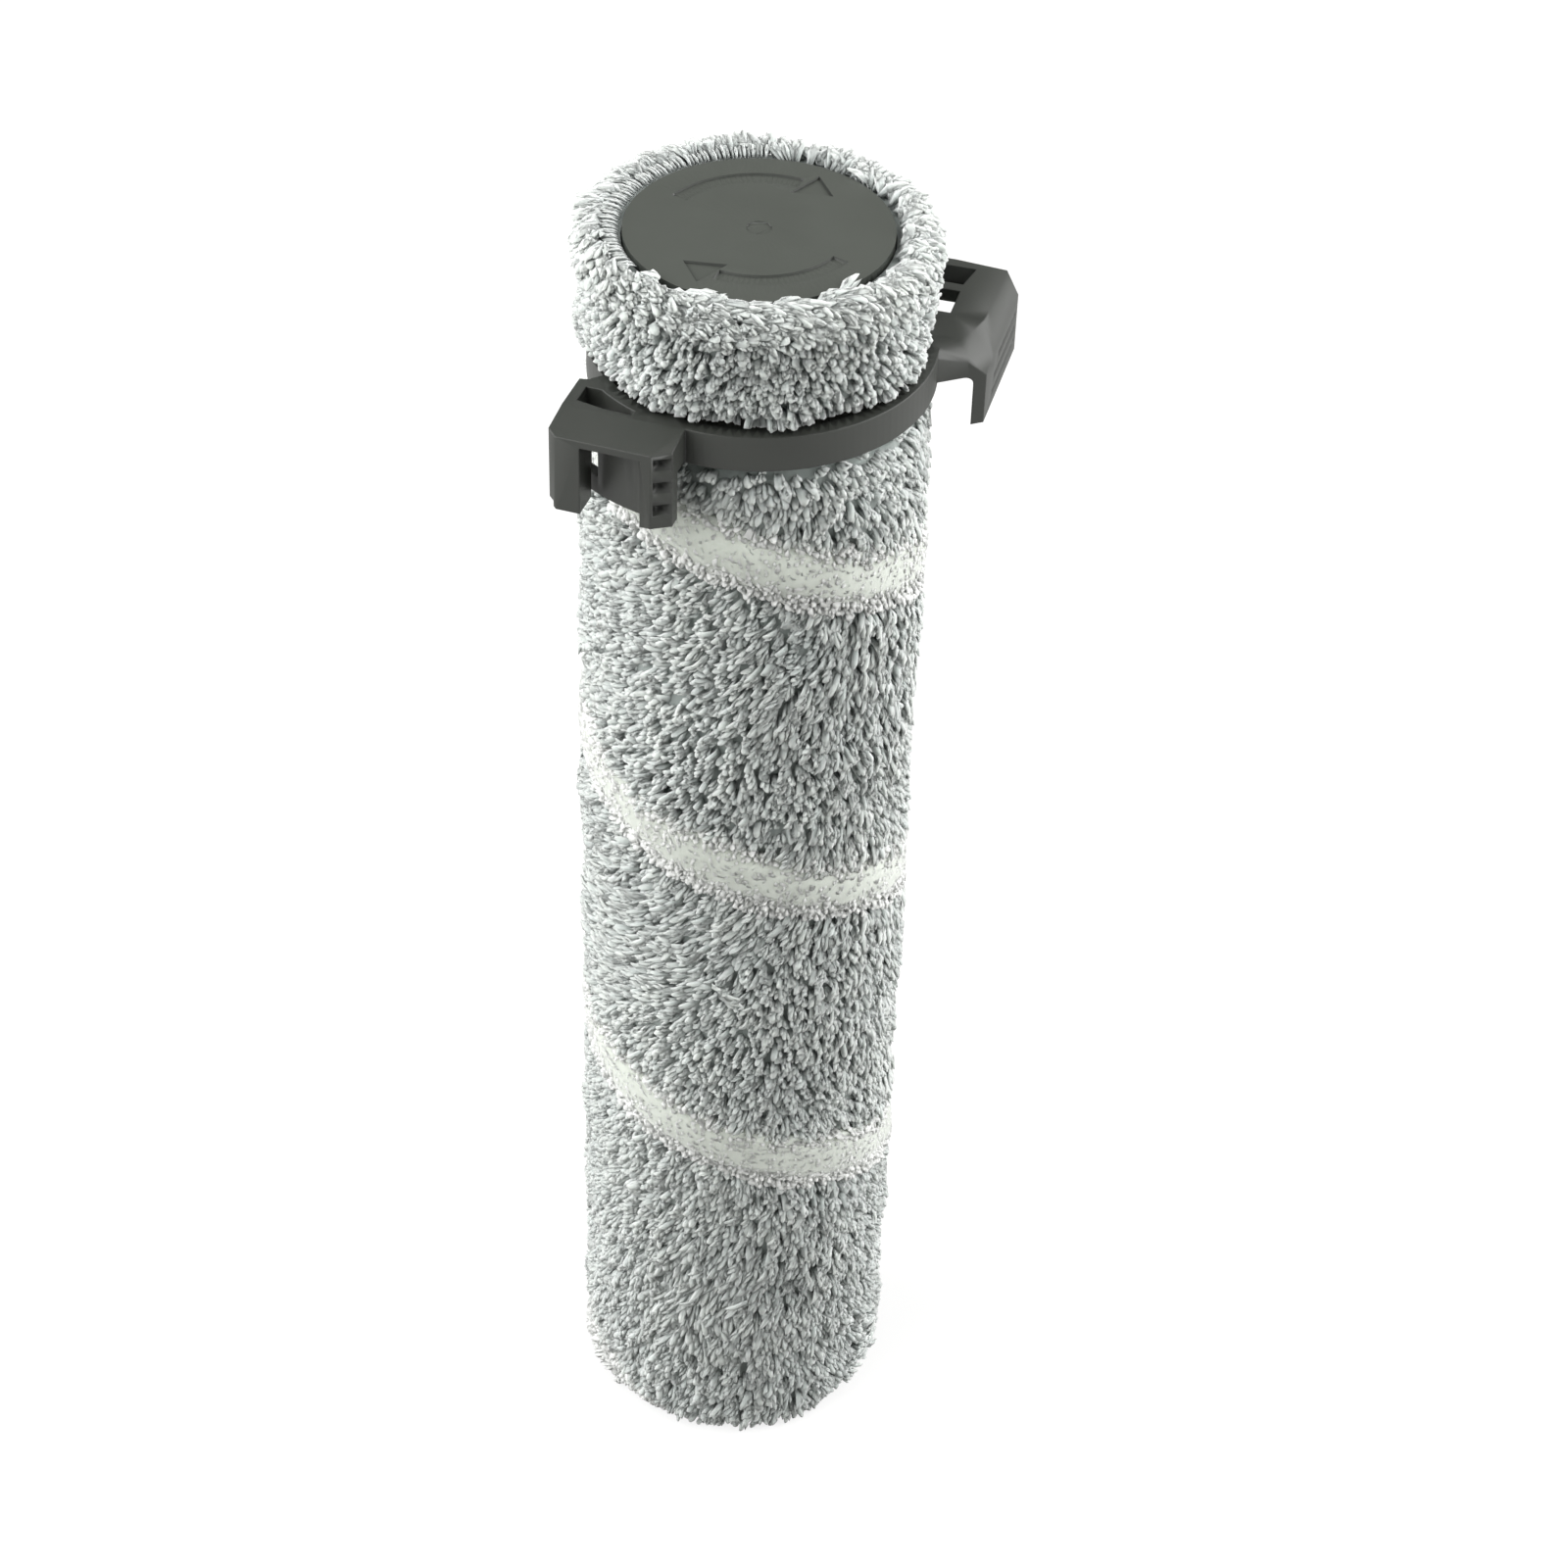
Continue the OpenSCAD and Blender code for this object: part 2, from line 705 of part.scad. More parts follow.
module facet_slot(z) {
  translate([(front_n + facet_n) / 2, (facet_t - facet_edge) / 2, z])
    rotate([0, 0, atan2(facet_depth, facet_w)]) linear_extrude(slot_h) polygon([
      [edge, slot_start], [-slot_depth, slot_start], [-slot_depth, slot_deep_end], [0, slot_end],
      [edge, slot_end]
    ]);
}

module plain_leg_chamfer() {
  translate([front_n + cut, front_left_t, leg_z0]) rotate([90, 0, -90])
    linear_extrude(plain_leg_depth + 2 * cut)
      polygon([[-cut, -cut], [leg_chamfer, -cut], [leg_chamfer, 0], [0, leg_chamfer], [-cut, leg_chamfer]]);
}

module front_fall_cut() {
  translate([0, facet_edge, 0]) rotate([90, 0, 0]) linear_extrude(front_left + 2 * facet_edge)
    polygon([
      [ring_r - cut * front_reach / front_fall, ring_z1 + cut],
      [front_n + cut, ring_z1 - front_fall - cut * front_fall / front_reach],
      [front_n + cut, ring_z1 + cut]
    ]);
}

module front_block() {
  rotate([0, 0, front_angle]) difference() {
    union() {
      block_prism(plate_z0, raw_z1, front_top_outline);
      block_prism(ring_z0 + wall_lift, raw_z1, front_wall_outline);
      block_prism(ring_z0 + wall_lift, raw_z1, right_wall_outline);
      block_prism(leg_z0, raw_z1, plain_leg_outline);
      block_prism(leg_z0, raw_z1, slotted_leg_outline);
      front_skirt();
    }
    block_prism(ring_z0 - cut, ring_z1 + cut, front_pocket_outline);
    for (i = [0 : slot_count - 1]) facet_slot(slot_z + i * slot_pitch);
    plain_leg_chamfer();
    front_fall_cut();
  }
}

// Side block: top plate with two pockets, sloped shoulders and a grooved hanging wall.
// Its near end slants from the ring out to the wall.
side_inner_n = side_n - side_wall;
near_lean = 0.7;
near_wall = side_wall * norm([1, near_lean]);
far_slant = 1;
side_lift = 0.8;
side_fillet_r = 1.4;
arch_z = ring_z0 + side_lift;

function near_t(n) = side_near - near_lean * (side_n - n);

side_root_n = ring_r - 4;
side_tail_n = ring_r - 15;
side_ring_point = into_ring(ring_end - side_angle - end_step_angle, [side_tail_n, side_far]);
side_outline = [
  [side_root_n, near_t(side_root_n)], [side_n, side_near], [side_n, side_far - far_slant],
  [side_root_n, side_far], [side_tail_n, side_far], side_ring_point
];
side_leg_outline = [
  [side_inner_n, near_t(side_inner_n)], [side_n, side_near], [side_n, side_far - far_slant],
  [side_inner_n, side_far - far_slant]
];
// The hollow's near end follows the slant and then turns along the hanging wall
hollow_n = side_inner_n - 2.2;
hollow_root_n = ring_r - 8;
hollow_near = side_near + 4.1;
pocket_root_n = side_tail_n;
side_hollow_outline = [
  [hollow_root_n, near_t(hollow_root_n) + near_wall], [hollow_n, near_t(hollow_n) + near_wall],
  [side_inner_n, hollow_near], [side_inner_n, side_far - far_slant - side_wall],
  [pocket_root_n, side_far - side_wall]
];
// Points of the top face's curved near edge, and the run and fall of the shoulder from each
top_edge = [
  for (p = [[6.9, -2.55], [4.9, 0.5], [3.25, 3.5], [side_slope_w + 0.15, 7.3], [side_slope_w, 10.1]])
    [side_n - p[0], side_near + p[1]],
  [side_n - side_slope_w, side_far]
];
shoulder_slopes = [[2.3, 1.8], [3.3, 2.6], [2.4, 3.2], [2.2, 3.6], [side_slope_w, side_slope_h]];
near_pocket = [side_near + 7.5, side_near + 14.1];
far_pocket = [side_near + 16.2, side_far - 2];
near_pocket_n = [ring_r - 1.2, ring_r - 1.2];
far_pocket_n = [ring_r - 1.2, ring_r - 0.2];
groove_count = 3;
groove_z = leg_z0 + 1.7;
groove_starts = [side_near + 5, side_near + 6, side_near + 8.5];
groove_end = side_far - 2.4;
groove_lean = 1.2;

// Cuts away what lies outside a plane that falls outward from an edge of the top face
slope_reach = 2.4;

module slope_cut(from, to, slope) {
  along = to - from;
  translate([from[0], from[1], ring_z1]) rotate([0, 0, atan2(along[1], along[0])])
    rotate([90, 0, 90]) translate([0, 0, -side_far]) linear_extrude(3 * side_far)
      polygon([
        [-slope_reach * slope[0], -slope_reach * slope[1]], [-side_far, -slope_reach * slope[1]],
        [-side_far, cut], [slope[0] / slope[1] * cut, cut]
      ]);
}

module side_pocket(t, n) {
  block_prism(plate_z0 - cut, ring_z1 + cut, [
    [pocket_root_n, t[0]], [n[0], t[0]], [n[1], t[1]], [pocket_root_n, t[1]]
  ]);
}

module side_groove(i) {
  translate([0, 0, groove_z + i * groove_pitch]) linear_extrude(groove_h) polygon([
    [side_n + edge, groove_starts[i]], [side_n, groove_starts[i]],
    [side_n - groove_depth, groove_starts[i] + groove_lean],
    [side_n - groove_depth, groove_end - groove_lean], [side_n, groove_end], [side_n + edge, groove_end]
  ]);
}

// Rounding between the near end's underside and the hanging wall
module side_fillet() {
  fillet_n = side_inner_n - side_fillet_r;
  difference() {
    block_prism(arch_z - side_fillet_r, arch_z + edge, [
      [fillet_n, near_t(fillet_n)], [side_inner_n + edge, near_t(side_inner_n + edge)],
      [side_inner_n + edge, near_t(side_inner_n + edge) + near_wall], [fillet_n, near_t(fillet_n) + near_wall]
    ]);
    translate([fillet_n, near_t(fillet_n) - cut, arch_z - side_fillet_r])
      rotate([-90, 0, 0]) cylinder(r = side_fillet_r, h = 2 * near_wall + 2 * cut, $fn = 32);
  }
}

module side_block() {
  rotate([0, 0, side_angle]) {
    difference() {
      union() {
        block_prism(arch_z, raw_z1, side_outline);
        block_prism(leg_z0, raw_z1, side_leg_outline);
      }
      for (i = [0 : len(shoulder_slopes) - 1])
        slope_cut(top_edge[i], top_edge[i + 1], shoulder_slopes[i]);
      block_prism(leg_z0 - cut, plate_z0, side_hollow_outline);
      side_pocket(near_pocket, near_pocket_n);
      side_pocket(far_pocket, far_pocket_n);
      for (i = [0 : groove_count - 1]) side_groove(i);
    }
    side_fillet();
  }
}

module bracket() {
  color("dimgray") difference() {
    union() {
      bracket_ring();
      difference() {
        union() {
          front_block();
          side_block();
        }
        translate([0, 0, ring_z0 - edge / 2])
          cylinder(r = ring_inner_r + ring_wall / 2, h = ring_h + cut, $fn = round_fn);
        translate([0, 0, leg_z0 - cut])
          cylinder(r = leg_inner_r, h = ring_z0 - leg_z0 + cut, $fn = round_fn);
      }
    }
    ring(2 * ring_r, rear_inner_r - cut, ring_z1, ring_z1 + cut);
  }
}

// Hub of the short section, keyed on the spindle's flat
module short_hub() {
  color("dimgray") difference() {
    union() {
      ring(tube_r, tube_bore_r, hub_z0, cap_z0);
      ring(tube_bore_r + edge, hub_boss_d / 2 - edge, hub_web_z0, hub_web_z0 + hub_web_t);
      translate([0, 0, hub_boss_z0]) cylinder(r = hub_boss_d / 2, h = hub_boss_h, $fn = round_fn);
    }
    translate([0, 0, hub_boss_z0 - cut])
      linear_extrude(hub_boss_h + 2 * cut) spindle_outline(press_fit);
    snap_ring(press_fit);
  }
}

washer_gap = 0.15;

module hub_washer() {
  color("silver")
    ring(washer_d / 2, screw_d / 2 + washer_gap, hub_boss_z1, hub_boss_z1 + washer_t, small_fn);
}

hex_share = 0.4;

module hub_screw() {
  color("silver") difference() {
    union() {
      translate([0, 0, hub_boss_z1 + washer_t - screw_len])
        cylinder(r = screw_d / 2, h = screw_len + edge, $fn = small_fn);
      translate([0, 0, hub_boss_z1 + washer_t])
        cylinder(r = screw_head_d / 2, h = screw_head_h, $fn = small_fn);
    }
    translate([0, 0, hub_boss_z1 + washer_t + screw_head_h / 2])
      cylinder(r = screw_d * hex_share, h = screw_head_h, $fn = 6);
  }
}

// Snap bead around the cap's skirt, and with a little growth the hub's groove for it
module snap_ring(grow) {
  translate([0, 0, snap_z]) rotate_extrude($fn = round_fn) polygon([
    [cap_skirt_r - edge, -snap_h * 2 - grow], [cap_skirt_r, -snap_h * 2 - grow],
    [cap_skirt_r + snap_h + grow, 0], [cap_skirt_r, snap_h * 2 + grow],
    [cap_skirt_r - edge, snap_h * 2 + grow]
  ]);
}

cap_r = tube_r - cap_edge_gap;
cap_bore_r = cap_skirt_r - cap_wall;
cap_inner_t = 0.8;
gate_r = 2;
arrow_start = 65;
barb_leans = [-5, 2];

// Curved arrow that shows the turning direction, sunk into the cap's face
module arrow_band() {
  intersection() {
    difference() {
      circle(r = arrow_r + arrow_w / 2, $fn = round_fn);
      circle(r = arrow_r - arrow_w / 2, $fn = round_fn);
    }
    polygon([[0, 0], for (share = [0, 0.5, 1]) polar(2 * arrow_r, arrow_start + share * arrow_sweep)]);
  }
}

module arrow_head() {
  polygon([
    polar(arrow_r + arrow_head_w / 2, arrow_start + barb_leans[0]),
    polar(arrow_r - arrow_head_w / 2, arrow_start + barb_leans[1]),
    polar(arrow_r, arrow_start - arrow_head_sweep)
  ]);
}

module end_cap() {
  color("dimgray") difference() {
    union() {
      translate([0, 0, cap_z0]) cylinder(r = cap_r, h = cap_t, $fn = round_fn);
      ring(cap_skirt_r, cap_bore_r, cap_z0 - cap_skirt_h, cap_z0 + edge);
      snap_ring(-press_fit);
    }
    translate([0, 0, cap_z0 - cut]) cylinder(r = cap_bore_r, h = cut + cap_inner_t, $fn = round_fn);
    translate([0, 0, cap_z1 - arrow_depth]) linear_extrude(arrow_depth + cut)
      for (turn = [0, 180]) rotate([0, 0, turn]) {
        arrow_band();
        arrow_head();
      }
    translate([0, 0, cap_z1 - arrow_depth / 2]) cylinder(r = gate_r, h = cut, $fn = small_fn);
  }
}

core_tube();
long_pile_sleeve();
white_pile_stripe();
drive_socket();
socket_o_ring();
end_plug();
plug_o_ring();
spindle();
lower_spacer();
bearing_inner_race();
bearing_balls();
bearing_cage();
bearing_outer_race();
bearing_lower_shield();
bearing_upper_shield();
bearing_retainer();
bracket();
lower_felt_seal();
upper_felt_seal();
upper_spacer();
short_hub();
short_pile_sleeve();
hub_washer();
hub_screw();
end_cap();
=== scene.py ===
"""Cleaning roller of a wet floor cleaner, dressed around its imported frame.

The roller stands on its drive end: a long section of tufted grey pile with a white
stripe wound around it, a moulded bracket with two blocks, and a short piled section
closed by a cap. Lengths are in metres unless a name ends in _mm.
"""
from __future__ import annotations

import json
import logging
import math
from dataclasses import dataclass, field
from enum import Enum
from typing import Callable, Iterable

import bmesh
import bpy
import numpy as np
from mathutils import Matrix, Vector

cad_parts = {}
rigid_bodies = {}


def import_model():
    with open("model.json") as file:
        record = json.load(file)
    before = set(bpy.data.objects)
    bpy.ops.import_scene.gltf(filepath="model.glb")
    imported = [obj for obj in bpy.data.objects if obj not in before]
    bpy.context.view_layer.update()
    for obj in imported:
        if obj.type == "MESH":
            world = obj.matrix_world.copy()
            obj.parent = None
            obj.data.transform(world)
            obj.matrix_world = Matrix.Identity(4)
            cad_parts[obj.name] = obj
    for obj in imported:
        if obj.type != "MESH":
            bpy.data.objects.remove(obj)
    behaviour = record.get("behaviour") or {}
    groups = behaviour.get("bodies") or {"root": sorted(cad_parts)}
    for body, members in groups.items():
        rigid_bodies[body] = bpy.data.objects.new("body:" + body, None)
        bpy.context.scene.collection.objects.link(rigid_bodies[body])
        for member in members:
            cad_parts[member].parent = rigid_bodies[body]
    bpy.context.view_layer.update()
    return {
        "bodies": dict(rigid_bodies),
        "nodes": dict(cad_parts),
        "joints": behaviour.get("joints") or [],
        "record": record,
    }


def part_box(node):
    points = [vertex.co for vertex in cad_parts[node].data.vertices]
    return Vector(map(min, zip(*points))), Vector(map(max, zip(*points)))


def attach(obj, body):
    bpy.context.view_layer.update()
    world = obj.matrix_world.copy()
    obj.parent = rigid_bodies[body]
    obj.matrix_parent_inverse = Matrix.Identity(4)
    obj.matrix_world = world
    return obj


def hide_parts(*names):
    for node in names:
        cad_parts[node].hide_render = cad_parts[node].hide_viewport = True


log = logging.getLogger("brush_roll")

MM = 0.001
MAX_PIECE_TRIANGLES = 180_000


class Body(Enum):
    """The moving bodies of the frame."""

    ROLLER = "roller"
    BRACKET = "bracket"


class Slot(Enum):
    """Material slots of the record."""

    GREY_PILE = "grey_pile"
    WHITE_PILE = "white_pile"
    TUBE_PLASTIC = "tube_plastic"
    GREY_PLASTIC = "grey_plastic"
    CAP_PLASTIC = "cap_plastic"
    RUBBER = "rubber"
    STEEL = "steel"
    CAGE_POLYMER = "cage_polymer"
    FELT = "felt"


def linear(hex_colour: str) -> tuple[float, float, float, float]:
    """Turns an sRGB hex colour to linear RGBA.

    Args:
        hex_colour: Six hex digits with a leading hash.

    Returns:
        The colour in scene-linear values with an alpha of one.
    """
    parts = [int(hex_colour[i:i + 2], 16) / 255 for i in (1, 3, 5)]
    lin = [c / 12.92 if c <= 0.04045 else ((c + 0.055) / 1.055) ** 2.4 for c in parts]
    return (lin[0], lin[1], lin[2], 1.0)


def add_node(tree: bpy.types.NodeTree, kind: str, settings: dict | None = None,
             links: dict | None = None) -> bpy.types.Node:
    """Adds one shader node, sets its values and links its inputs.

    Args:
        tree: The node tree that takes the node.
        kind: The node's Blender type name.
        settings: Attribute names or input names, with their values.
        links: Input names, with the output sockets that feed them.

    Returns:
        The new node.
    """
    node = tree.nodes.new(kind)
    for name, value in (settings or {}).items():
        if hasattr(node, name):
            setattr(node, name, value)
        else:
            node.inputs[name].default_value = value
    for name, socket in (links or {}).items():
        tree.links.new(socket, node.inputs[name])
    return node


def new_material(name: str) -> tuple[bpy.types.Material, bpy.types.NodeTree]:
    """Makes an empty node material.

    Args:
        name: The material's name.

    Returns:
        The material and its cleared node tree.
    """
    material = bpy.data.materials.new(name)
    material.use_nodes = True
    material.node_tree.nodes.clear()
    return material, material.node_tree


def close_material(tree: bpy.types.NodeTree, shader: bpy.types.Node) -> None:
    """Links a shader to a new material output.

    Args:
        tree: The material's node tree.
        shader: The node whose first output is the surface.
    """
    out = add_node(tree, "ShaderNodeOutputMaterial")
    tree.links.new(shader.outputs[0], out.inputs["Surface"])


def ramp(tree: bpy.types.NodeTree, factor: bpy.types.NodeSocket,
         stops: Iterable[tuple[float, str]]) -> bpy.types.Node:
    """Adds a colour ramp with hex colours.

    Args:
        tree: The material's node tree.
        factor: The socket that drives the ramp.
        stops: Places from 0 to 1 with their colours.

    Returns:
        The ramp node.
    """
    node = add_node(tree, "ShaderNodeValToRGB", links={"Fac": factor})
    stops = list(stops)
    elements = node.color_ramp.elements
    while len(elements) < len(stops):
        elements.new(0.5)
    for element, (place, colour) in zip(elements, stops):
        element.position = place
        element.color = linear(colour)
    return node


@dataclass(frozen=True)
class MouldedPlastic:
    """ABS from an eroded mould: even colour, a fine grain, a dull sheen and soft edges."""

    name: str
    colour: str
    shade: str
    roughness: float = 0.46
    grain_mm: float = 0.35
    grain_depth_mm: float = 0.012
    edge_mm: float = 0.35

    def build(self) -> bpy.types.Material:
        """Builds the material: faint clouds of colour, painted shade in the creases, grain, rounded edges.
        """
        material, tree = new_material(self.name)
        coords = add_node(tree, "ShaderNodeTexCoord")
        cloud = add_node(tree, "ShaderNodeTexNoise", {"Scale": 1 / (14 * MM), "Detail": 3.0},
                         {"Vector": coords.outputs["Object"]})
        colour = ramp(tree, cloud.outputs["Fac"], [(0.3, self.shade), (0.7, self.colour)])
        # Painted shade: ambient occlusion darkens the base colour in creases and recesses.
        painted_crease_shade = add_node(tree, "ShaderNodeAmbientOcclusion",
                          {"samples": 8, "only_local": True, "Distance": 0.9 * MM},
                          {"Color": colour.outputs["Color"]})
        grain = add_node(tree, "ShaderNodeTexNoise",
                         {"Scale": 1 / (self.grain_mm * MM), "Detail": 2.0, "Roughness": 0.6},
                         {"Vector": coords.outputs["Object"]})
        edge = add_node(tree, "ShaderNodeBevel", {"samples": 6, "Radius": self.edge_mm * MM})
        bump = add_node(tree, "ShaderNodeBump",
                        {"Strength": 0.5, "Distance": self.grain_depth_mm * MM},
                        {"Height": grain.outputs["Fac"], "Normal": edge.outputs["Normal"]})
        dull = add_node(tree, "ShaderNodeMapRange",
                        {"To Min": self.roughness - 0.05, "To Max": self.roughness + 0.07},
                        {"Value": cloud.outputs["Fac"]})
        shader = add_node(tree, "ShaderNodeBsdfPrincipled", {"IOR": 1.53},
                          {"Base Color": painted_crease_shade.outputs["Color"],
                           "Roughness": dull.outputs["Result"],
                           "Normal": bump.outputs["Normal"]})
        close_material(tree, shader)
        return material


@dataclass(frozen=True)
class PileFibre:
    """Split microfibre yarn: soft and matt, with painted shade that makes its roots darker than its tips.
    """

    name: str
    root: str
    middle: str
    tip: str
    contrast: float = 0.12
    softness: float = 0.5

    def build(self) -> bpy.types.Material:
        """Builds the material from the tufts' tone, with strands along each tuft."""
        material, tree = new_material(self.name)
        tone = add_node(tree, "ShaderNodeAttribute", {"attribute_name": "tone"})
        fibre = add_node(tree, "ShaderNodeAttribute", {"attribute_name": "fibre"})
        # The fibre attribute is in millimetres. Single fibres are 0.01 mm thick, so strands
        # of about 0.25 mm are drawn instead.
        strands = add_node(tree, "ShaderNodeTexNoise",
                           {"Scale": 1 / 0.25, "Detail": 2.0, "Roughness": 0.6},
                           {"Vector": fibre.outputs["Vector"]})
        streak = add_node(tree, "ShaderNodeMapRange",
                          {"From Min": 0.25, "From Max": 0.75, "To Min": -self.contrast,
                           "To Max": self.contrast}, {"Value": strands.outputs["Fac"]})
        drawn = add_node(tree, "ShaderNodeMath", {"operation": "ADD"})
        tree.links.new(tone.outputs["Fac"], drawn.inputs[0])
        tree.links.new(streak.outputs["Result"], drawn.inputs[1])
        # The ramp's root end is painted shade low in the pile, between the tufts.
        colour = ramp(tree, drawn.outputs[0],
                      [(0.0, self.root), (0.5, self.middle), (1.0, self.tip)])
        bump = add_node(tree, "ShaderNodeBump", {"Strength": 0.3, "Distance": 0.1 * MM},
                        {"Height": strands.outputs["Fac"], "Normal": self.leaned(tree)})
        shader = add_node(tree, "ShaderNodeBsdfPrincipled",
                          {"Roughness": 0.85, "Specular IOR Level": 0.1, "Sheen Weight": 0.5,
                           "Sheen Roughness": 0.5, "Subsurface Weight": 0.8,
                           "Subsurface Radius": (1.0, 1.0, 1.0), "Subsurface Scale": 2.4 * MM},
                          {"Base Color": colour.outputs["Color"], "Normal": bump.outputs["Normal"]})
        close_material(tree, shader)
        return material


    def leaned(self, tree: bpy.types.NodeTree) -> bpy.types.NodeSocket:
        """Leans the shading normal of each tuft towards the pile's own outward direction.

        Args:
            tree: The material's node tree.

        Returns:
            The socket with the mixed normal, which lights a lock as one of many fine fibres.
        """
        outward = add_node(tree, "ShaderNodeAttribute", {"attribute_name": "outward"})
        turned = add_node(tree, "ShaderNodeVectorTransform",
                          {"vector_type": "VECTOR", "convert_from": "OBJECT", "convert_to": "WORLD"},
                          {"Vector": outward.outputs["Vector"]})
        own = add_node(tree, "ShaderNodeNewGeometry")
        mixed = add_node(tree, "ShaderNodeVectorMath", {"operation": "MULTIPLY_ADD"})
        tree.links.new(turned.outputs["Vector"], mixed.inputs[0])
        mixed.inputs[1].default_value = (self.softness / (1 - self.softness),) * 3
        tree.links.new(own.outputs["Normal"], mixed.inputs[2])
        unit = add_node(tree, "ShaderNodeVectorMath", {"operation": "NORMALIZE"})
        tree.links.new(mixed.outputs["Vector"], unit.inputs[0])
        return unit.outputs["Vector"]


@dataclass(frozen=True)
class GroundSteel:
    """Bearing steel with a ground face: bright, with a little roughness along the turning."""

    name: str
    colour: str = "#b9bcbe"
    roughness: float = 0.28

    def build(self) -> bpy.types.Material:
        """Builds the material with fine grinding marks in its roughness."""
        material, tree = new_material(self.name)
        coords = add_node(tree, "ShaderNodeTexCoord")
        marks = add_node(tree, "ShaderNodeTexNoise", {"Scale": 1 / (0.4 * MM), "Detail": 4.0},
                         {"Vector": coords.outputs["Object"]})
        rough = add_node(tree, "ShaderNodeMapRange",
                         {"To Min": self.roughness - 0.08, "To Max": self.roughness + 0.1},
                         {"Value": marks.outputs["Fac"]})
        shader = add_node(tree, "ShaderNodeBsdfPrincipled",
                          {"Base Color": linear(self.colour), "Metallic": 1.0},
                          {"Roughness": rough.outputs["Result"]})
        close_material(tree, shader)
        return material


@dataclass(frozen=True)
class PlainFinish:
    """Rubber, polyamide or felt: one colour with a slight unevenness."""

    name: str
    colour: str
    shade: str
    roughness: float
    grain_mm: float
    relief_mm: float

    def build(self) -> bpy.types.Material:
        """Builds the material with a grain of its own size."""
        material, tree = new_material(self.name)
        coords = add_node(tree, "ShaderNodeTexCoord")
        grain = add_node(tree, "ShaderNodeTexNoise",
                         {"Scale": 1 / (self.grain_mm * MM), "Detail": 4.0},
                         {"Vector": coords.outputs["Object"]})
        colour = ramp(tree, grain.outputs["Fac"], [(0.35, self.shade), (0.65, self.colour)])
        bump = add_node(tree, "ShaderNodeBump", {"Strength": 0.6, "Distance": self.relief_mm * MM},
                        {"Height": grain.outputs["Fac"]})
        shader = add_node(tree, "ShaderNodeBsdfPrincipled", {"Roughness": self.roughness},
                          {"Base Color": colour.outputs["Color"], "Normal": bump.outputs["Normal"]})
        close_material(tree, shader)
        return material


FINISHES = {
    # The first colour of each pile finish is painted shade, used at the tufts' roots, on the base and on
    # the white band.
    Slot.GREY_PILE: PileFibre("microfibre_grey", "#8f9693", "#b1b8b5", "#bec4be"),
    Slot.WHITE_PILE: PileFibre("microfibre_white", "#c6cbc2", "#f1f5ed", "#f7faf3", 0.03, 0.88),
    Slot.GREY_PLASTIC: MouldedPlastic("abs_moulded_grey", "#333531", "#2e302c"),
    Slot.CAP_PLASTIC: MouldedPlastic("abs_satin_grey", "#41443f", "#3d403b", 0.42, 0.25, 0.008, 0.08),
    Slot.TUBE_PLASTIC: MouldedPlastic("polypropylene_extruded", "#7a7d7b", "#707371", 0.4),
    Slot.STEEL: GroundSteel("bearing_steel_ground"),
    Slot.RUBBER: PlainFinish("nitrile_rubber", "#232323", "#1c1c1c", 0.6, 0.5, 0.02),
    Slot.CAGE_POLYMER: PlainFinish("polyamide_moulded", "#b49f77", "#a8946e", 0.45, 0.6, 0.01),
    Slot.FELT: PlainFinish("wool_felt_pressed", "#c9c4b6", "#b3ae9f", 0.95, 0.4, 0.15),
}


def add_piece(name: str, mesh: bpy.types.Mesh, body: Body,
              material: bpy.types.Material, replaces: Iterable[str] = ()) -> bpy.types.Object:
    """Puts a finished mesh in the scene as a piece of the roller.

    Args:
        name: The piece's name.
        mesh: Its mesh, already in place.
        body: The body that it rides on.
        material: Its material.
        replaces: The frame's nodes that it stands for.

    Returns:
        The new object.
    """
    piece = bpy.data.objects.new(name, mesh)
    bpy.context.scene.collection.objects.link(piece)
    mesh.materials.clear()
    mesh.materials.append(material)
    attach(piece, body.value)
    if replaces:
        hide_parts(*replaces)
    log.info("%s: %d faces on %s", name, len(mesh.polygons), body.value)
    return piece


def smooth_noise(rng: np.random.Generator, waves: int, size_z_mm: float,
                 turns: int) -> Callable[[np.ndarray, np.ndarray], np.ndarray]:
    """Makes a smooth random field around the roller that closes on itself.

    Args:
        rng: The seeded source of its phases.
        waves: How many waves are summed.
        size_z_mm: The shortest wave along the axis.
        turns: The most waves around the roller.

    Returns:
        A function of azimuth in radians and height in metres, about -1 to 1.
    """
    around = rng.integers(-turns, turns + 1, waves)
    along = rng.uniform(-1, 1, waves) * 2 * math.pi / (size_z_mm * MM)
    phase = rng.uniform(0, 2 * math.pi, waves)
    weight = rng.uniform(0.5, 1.0, waves)
    weight /= np.sqrt((weight ** 2).sum() / 2)

    def value(azimuth: np.ndarray, height: np.ndarray) -> np.ndarray:
        """Sums the waves at each place."""
        angle = (azimuth[..., None] * around + height[..., None] * along + phase)
        return (np.sin(angle) * weight).sum(axis=-1) * 0.7

    return value


@dataclass
class TuftShape:
    """One bundle of yarn ends, drawn along its length from root (0) to tip (1)."""

    places: np.ndarray
    faces: list[tuple[int, ...]]


